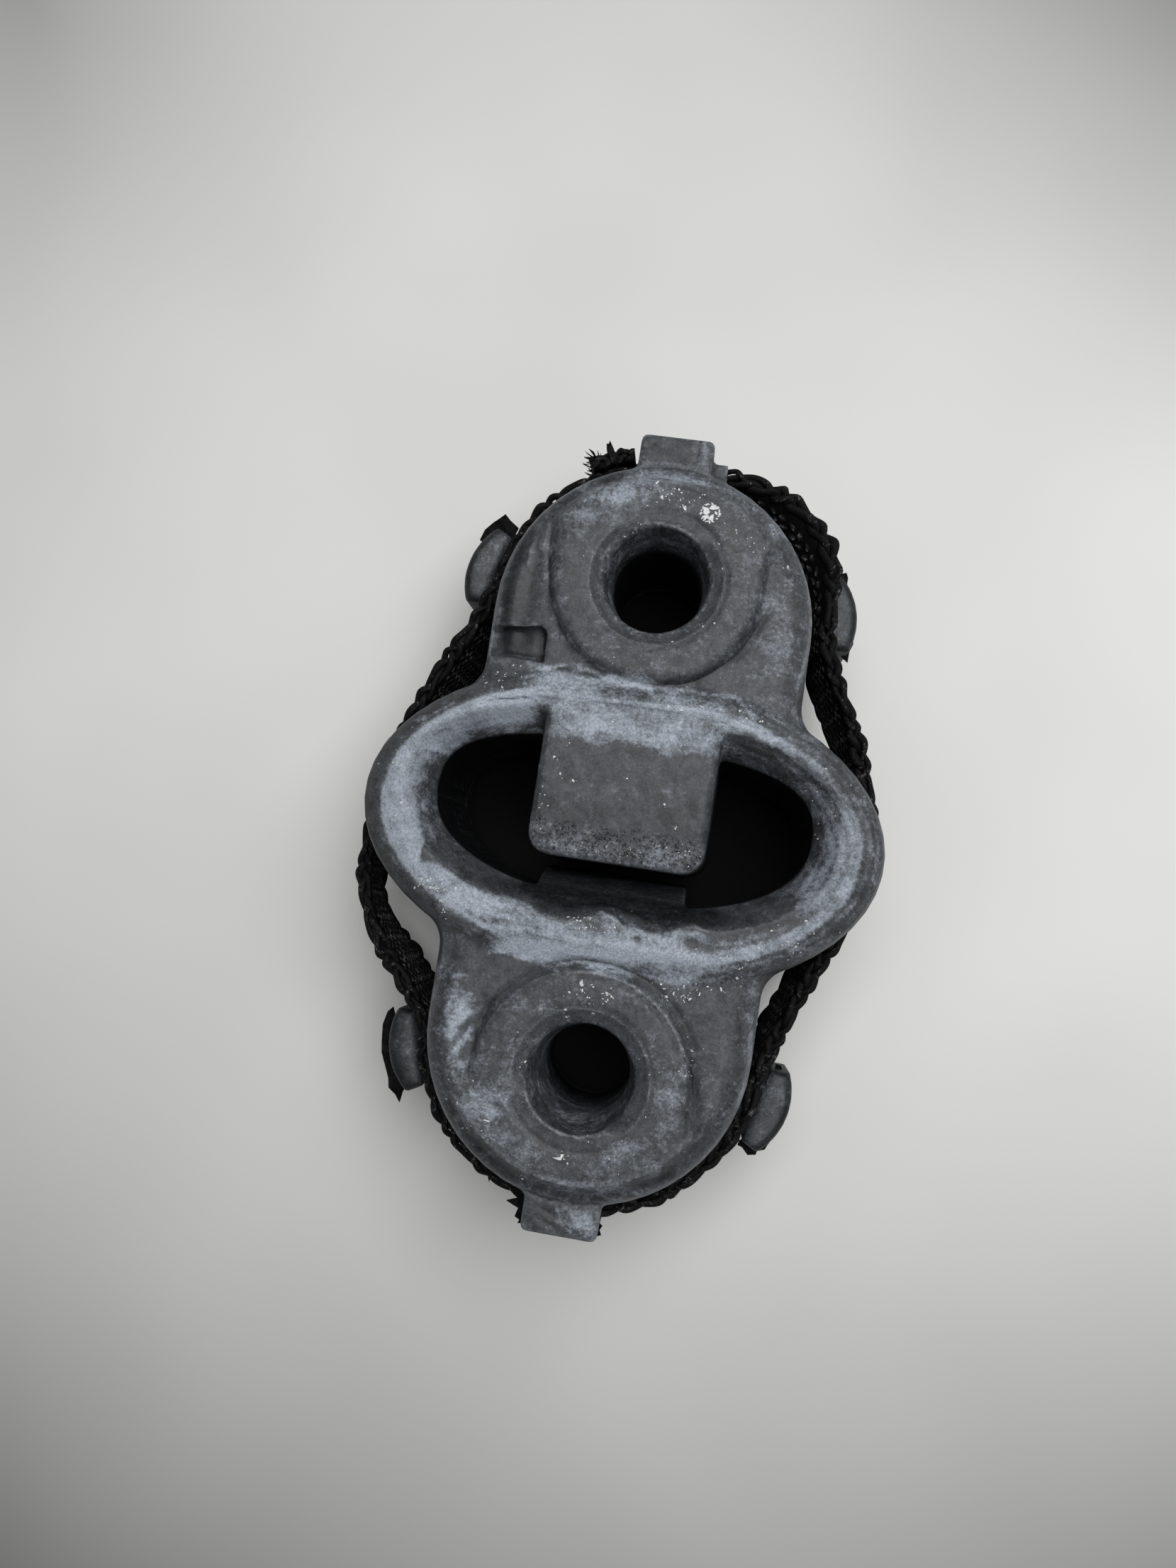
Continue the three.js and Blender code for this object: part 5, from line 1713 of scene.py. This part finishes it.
@dataclass
class DarkScraps:
    """Thin black scraps: painted shade round the outer sides and ends of the stud heads, and torn flash by
    the lower tab.
    """

    thickness: float = 0.3
    curl: float = 0.35
    scraps: tuple[Scrap, ...] = (
        # The first five scraps are painted shade round the stud heads; the last three are flash by the lower
        # tab
        Scrap(20.5, (
            (-26.5, 38.6), (-26.0, 40.2), (-24.9, 41.5), (-24.2, 42.0), (-23.4, 42.9), (-22.5, 42.0),
            (-21.2, 41.1), (-21.7, 39.4), (-22.8, 38.0), (-24.6, 37.2))),
        Scrap(20.0, (
            (-28.0, -29.4), (-28.7, -30.2), (-29.0, -32.0), (-28.8, -34.3), (-28.5, -35.8),
            (-27.9, -37.2), (-27.0, -39.2), (-26.7, -40.5), (-25.7, -41.3), (-24.9, -42.3),
            (-24.7, -40.9), (-24.3, -39.6), (-25.8, -38.0), (-26.4, -35.4), (-27.0, -31.6))),
        Scrap(20.0, (
            (25.9, -28.5), (26.6, -28.6), (27.1, -29.5), (27.8, -30.5), (28.3, -32.0), (28.4, -33.8),
            (27.9, -35.8), (27.2, -37.8), (26.3, -39.4), (26.0, -40.1), (25.0, -40.5), (24.9, -41.0),
            (23.8, -41.2), (22.9, -40.3), (22.3, -40.1), (22.4, -39.5), (24.3, -38.0), (25.8, -36.1),
            (26.2, -33.0), (25.8, -30.8))),
        Scrap(22.0, (
            (23.8, 39.2), (24.2, 39.9), (25.1, 40.1), (26.0, 40.3), (26.3, 39.6), (26.3, 38.2),
            (24.4, 37.8))),
        Scrap(19.0, (
            (28.5, 32.5), (28.6, 31.0), (28.2, 29.9), (28.2, 28.4), (27.5, 28.8), (26.6, 29.6),
            (25.8, 32.0))),
        Scrap(28.8, (
            (-5.9, -48.1), (-7.0, -48.2), (-6.1, -49.1), (-5.6, -49.9), (-7.0, -50.5), (-6.1, -50.8),
            (-5.3, -51.1), (-5.6, -52.2), (-4.9, -52.5), (-5.1, -53.0), (-3.9, -52.9), (-4.6, -48.3))),
        Scrap(28.8, (
            (4.8, -49.8), (5.6, -50.3), (5.4, -51.1), (5.9, -51.4), (5.6, -52.0), (5.9, -52.6),
            (5.0, -53.0), (4.3, -52.6), (4.4, -50.2))),
        Scrap(28.8, (
            (-10.5, -46.0), (-10.0, -47.5), (-9.6, -48.5), (-9.4, -47.6), (-8.9, -47.3), (-9.2, -45.8))),
    )

    def build(self) -> bpy.types.Object:
        """Makes all scraps as one piece."""
        bm = bmesh.new()
        for scrap in self.scraps:
            made = bmesh.ops.create_circle(bm, cap_ends=True, segments=len(scrap.outline), radius=1.0)
            for vertex, (x, y) in zip(made["verts"], scrap.outline):
                vertex.co = (x, y, scrap.height)
            tops = grow(bm, [made["verts"][0].link_faces[0]])
            bmesh.ops.translate(bm, verts=tops, vec=(0.0, 0.0, self.thickness))
        places = np.array([v.co for v in bm.verts])
        lifts = self.curl * ripple(places[:, 0], places[:, 1], 5.0)
        for vertex, lift in zip(bm.verts, lifts):
            vertex.co.z += lift
        bmesh.ops.triangulate(bm, faces=bm.faces)
        bmesh.ops.recalc_face_normals(bm, faces=bm.faces)
        bmesh.ops.scale(bm, verts=bm.verts, vec=(MM, MM, MM))
        return object_from(bm, "dark_scraps")

    def dress(self, piece: bpy.types.Object, finish: BlackScrapSkin) -> None:
        """Gives the piece its finish and its place on the frame."""
        piece.data.materials.append(finish.build())
        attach(piece, "root")


# The studio


@dataclass
class Viewpoint:
    """The photograph's camera, fitted to the part."""

    lens: float = 27.03
    sensor: float = 36.0
    tilt: float = -5.27
    pan: float = 4.33
    roll: float = 8.82
    offset: tuple[float, float, float] = (3.9, 5.2, 150.7)
    plane: float = 35.5

    def build(self, middle: float) -> bpy.types.Object:
        """Makes the camera.

        Args:
            middle: Where the part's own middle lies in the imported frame, in millimetres.

        Returns:
            The camera.
        """
        flip = Matrix.Diagonal((1, -1, -1)).to_3x3()
        turn = (
            Matrix.Rotation(math.radians(self.tilt), 3, "X")
            @ Matrix.Rotation(math.radians(self.pan), 3, "Y")
            @ Matrix.Rotation(math.radians(self.roll), 3, "Z")
            @ flip
        )
        eye = Vector((middle, 0.0, self.plane)) - turn.transposed() @ Vector(self.offset)
        data = bpy.data.cameras.new("camera")
        data.lens = self.lens
        data.sensor_width = self.sensor
        data.clip_start, data.clip_end = 0.01, 10.0
        camera = bpy.data.objects.new("camera", data)
        camera.matrix_world = Matrix.Translation(eye * MM) @ (turn.transposed() @ flip).to_4x4()
        bpy.context.scene.collection.objects.link(camera)
        bpy.context.scene.camera = camera
        return camera


@dataclass
class Studio:
    """A pale paper floor under soft light from above."""

    floor_half: float = 900.0
    floor_level: float = -0.05
    paper: Colour = (0.72, 0.72, 0.71)
    paper_bounce: Colour = (0.16, 0.16, 0.16)
    shade_turn: float = 8.82
    shade_centre: Place = (-5.0, 12.0)
    shade_reach: Place = (93.0, 124.0)
    shade_limit: float = 1.2
    shade_falls: tuple[float, float, float] = (0.12, 0.44, 0.4)
    plain_level: float = 0.88
    world_strength: float = 0.22
    lamp_size: float = 0.55
    lamp_power: float = 4.6
    lamp_place: tuple[float, float, float] = (0.14, 0.18, 0.66)
    hidden_edge: Place = (0.95, 1.06)
    hidden_level: float = 0.012
    hidden: tuple[tuple[Place, Place], ...] = (
        ((0.5, 0.0), (29.5, 16.5)),
        ((0.5, 32.5), (9.0, 9.0)),
        ((0.5, -32.5), (9.0, 9.0)),
    )

    def build(self) -> None:
        """Makes the floor, the lamp and the world."""
        self.floor()
        self.lamp()
        self.world()

    def floor(self) -> None:
        """Makes the paper floor."""
        bm = bmesh.new()
        bmesh.ops.create_grid(bm, x_segments=1, y_segments=1, size=self.floor_half * MM)
        bmesh.ops.translate(bm, verts=bm.verts, vec=(0.0, 0.0, self.floor_level * MM))
        floor = object_from(bm, "paper_floor")
        floor.data.materials.append(self.paper_material())

    def paper_material(self) -> bpy.types.Material:
        """Paper with painted shade that darkens it towards the frame's corners and under the part, as in the
        photograph.
        """
        material = bpy.data.materials.new("paper")
        material.use_nodes = True
        nodes = Nodes(material.node_tree)
        shader = material.node_tree.nodes["Principled BSDF"]
        place = nodes.millimetres()
        centred = nodes.add("ShaderNodeMapping", {
            "Vector": place,
            "Location": (*self.shade_centre, 0.0),
            "Rotation": (0.0, 0.0, math.radians(self.shade_turn)),
        }, vector_type="TEXTURE").outputs["Vector"]
        parts = nodes.add("ShaderNodeSeparateXYZ", {"Vector": centred})
        across = nodes.maths("DIVIDE", parts.outputs["X"], self.shade_reach[0])
        along = nodes.maths("DIVIDE", parts.outputs["Y"], self.shade_reach[1])
        # Painted shade: the paper's colour darkens towards the frame's corners and edges, unevenly from side
        # to side
        aside = nodes.limited(across, -self.shade_limit, self.shade_limit)
        up = nodes.maths("POWER", nodes.limited(along, 0.0, self.shade_limit), 2.0)
        down = nodes.maths("POWER", nodes.limited(nodes.times(along, -1.0), 0.0, self.shade_limit), 2.0)
        corner = nodes.times(nodes.times(aside, aside), nodes.plus(up, down))
        fall_up, fall_down, fall_corner = self.shade_falls
        fall = nodes.plus(nodes.times(up, fall_up), nodes.times(down, fall_down))
        level = nodes.times(nodes.rest(fall), nodes.rest(nodes.times(corner, fall_corner)))
        tilt = nodes.plus(0.08, nodes.times(up, -0.26))
        level = nodes.times(level, nodes.maths("MULTIPLY_ADD", aside, tilt, 1.0))
        farthest = nodes.maths("MAXIMUM", nodes.maths("ABSOLUTE", across), nodes.maths("ABSOLUTE", along))
        beyond = nodes.remap(farthest, 1.0, 1.5)
        level = nodes.plus(nodes.times(level, nodes.rest(beyond)), nodes.times(beyond, self.plain_level))
        clouds = nodes.noise(place, 0.012, 2, 0.5)
        level = nodes.times(level, nodes.remap(clouds, 0.3, 0.7, 0.94, 1.04))
        # Painted shade on the paper under the opening and the bores
        level = nodes.times(level, self.painted_hole_shade(nodes, place))
        shade = nodes.mix(1.0, self.paper, nodes.grey(level), "MULTIPLY")
        path = nodes.add("ShaderNodeLightPath")
        seen = nodes.maths("MAXIMUM", path.outputs["Is Camera Ray"], path.outputs["Is Glossy Ray"])
        seen = nodes.maths("MAXIMUM", seen, path.outputs["Is Transmission Ray"])
        nodes.put(shader.inputs["Base Color"], nodes.mix(seen, self.paper_bounce, shade))
        shader.inputs["Roughness"].default_value = 0.9
        shader.inputs["Specular IOR Level"].default_value = 0.1
        return material

    def painted_hole_shade(self, nodes: Nodes, place: bpy.types.NodeSocket) -> bpy.types.NodeSocket:
        """Painted shade on the paper that shows through the opening and the two bores: how far its colour is
        darkened there.
        """
        level = 1.0
        for centre, reach in self.hidden:
            shifted = nodes.add("ShaderNodeVectorMath", {0: place, 1: (*centre, 0.0)}, operation="SUBTRACT")
            scaled = nodes.add("ShaderNodeVectorMath", {
                0: shifted.outputs["Vector"], 1: (1 / reach[0], 1 / reach[1], 0.0),
            }, operation="MULTIPLY")
            near = nodes.add("ShaderNodeVectorMath", {0: scaled.outputs["Vector"]}, operation="LENGTH")
            lit = nodes.remap(near.outputs["Value"], *self.hidden_edge, self.hidden_level, 1.0)
            level = nodes.times(level, lit)
        return level

    def lamp(self) -> None:
        """Makes the soft lamp overhead."""
        data = bpy.data.lights.new("softbox", "AREA")
        data.shape = "SQUARE"
        data.size = self.lamp_size
        data.energy = self.lamp_power
        lamp = bpy.data.objects.new("softbox", data)
        lamp.location = self.lamp_place
        aim = Vector((0.0, 0.0, 0.02)) - lamp.location
        lamp.rotation_euler = aim.to_track_quat("-Z", "Y").to_euler()
        bpy.context.scene.collection.objects.link(lamp)

    def world(self) -> None:
        """Makes the even light all round."""
        world = bpy.data.worlds.new("studio")
        world.use_nodes = True
        nodes = Nodes(world.node_tree)
        seen = nodes.add("ShaderNodeLightPath").outputs["Is Camera Ray"]
        back = world.node_tree.nodes["Background"]
        nodes.put(back.inputs["Color"], nodes.mix(seen, (1.0, 1.0, 1.0), self.paper))
        nodes.put(back.inputs["Strength"], nodes.remap(seen, 0.0, 1.0, self.world_strength, 1.0))
        bpy.context.scene.world = world


def triangles_of(piece: bpy.types.Object) -> int:
    """Number of a piece's triangles."""
    piece.data.calc_loop_triangles()
    return len(piece.data.loop_triangles)


def dress_strap(piece: bpy.types.Object, yarn: bpy.types.Material) -> None:
    """Gives a piece of the strap its finish and its place on the frame."""
    piece.data.materials.clear()
    piece.data.materials.append(yarn)
    shade_smooth(piece.data)
    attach(piece, "root")
    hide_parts(STRAP_NODE)


def clear_scene() -> None:
    """Removes what a new Blender file starts with."""
    for thing in list(bpy.data.objects):
        bpy.data.objects.remove(thing)


def main() -> None:
    """Builds the scene."""
    logging.basicConfig(level=logging.INFO, format="%(name)s: %(message)s")
    clear_scene()
    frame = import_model()
    bpy.context.scene.view_settings.view_transform = "Standard"

    moulding = RubberMoulding()
    piece = moulding.build(frame["nodes"][BODY_NODE])
    moulding.dress(WeatheredRubber())
    LOG.info("moulding: %d triangles", triangles_of(piece))

    stuck = StuckChips()
    chips = stuck.build(piece)
    stuck.dress(chips, PaleChip())
    LOG.info("chips: %d triangles", triangles_of(chips))

    # Black scraps: painted shade round the stud heads, flash by the lower tab
    flash = DarkScraps()
    scraps = flash.build()
    flash.dress(scraps, BlackScrapSkin())
    LOG.info("scraps: %d triangles", triangles_of(scraps))

    yarn = BlackYarn().build()
    route = StrapRoute(moulding.middle)
    LOG.info("strap: %.1f mm once round", route.length)
    for piece in WovenStrap(route).build():
        dress_strap(piece, yarn)
        LOG.info("%s: %d triangles", piece.name, triangles_of(piece))

    Viewpoint().build(moulding.middle)
    Studio().build()


if __name__ == "__main__":
    main()
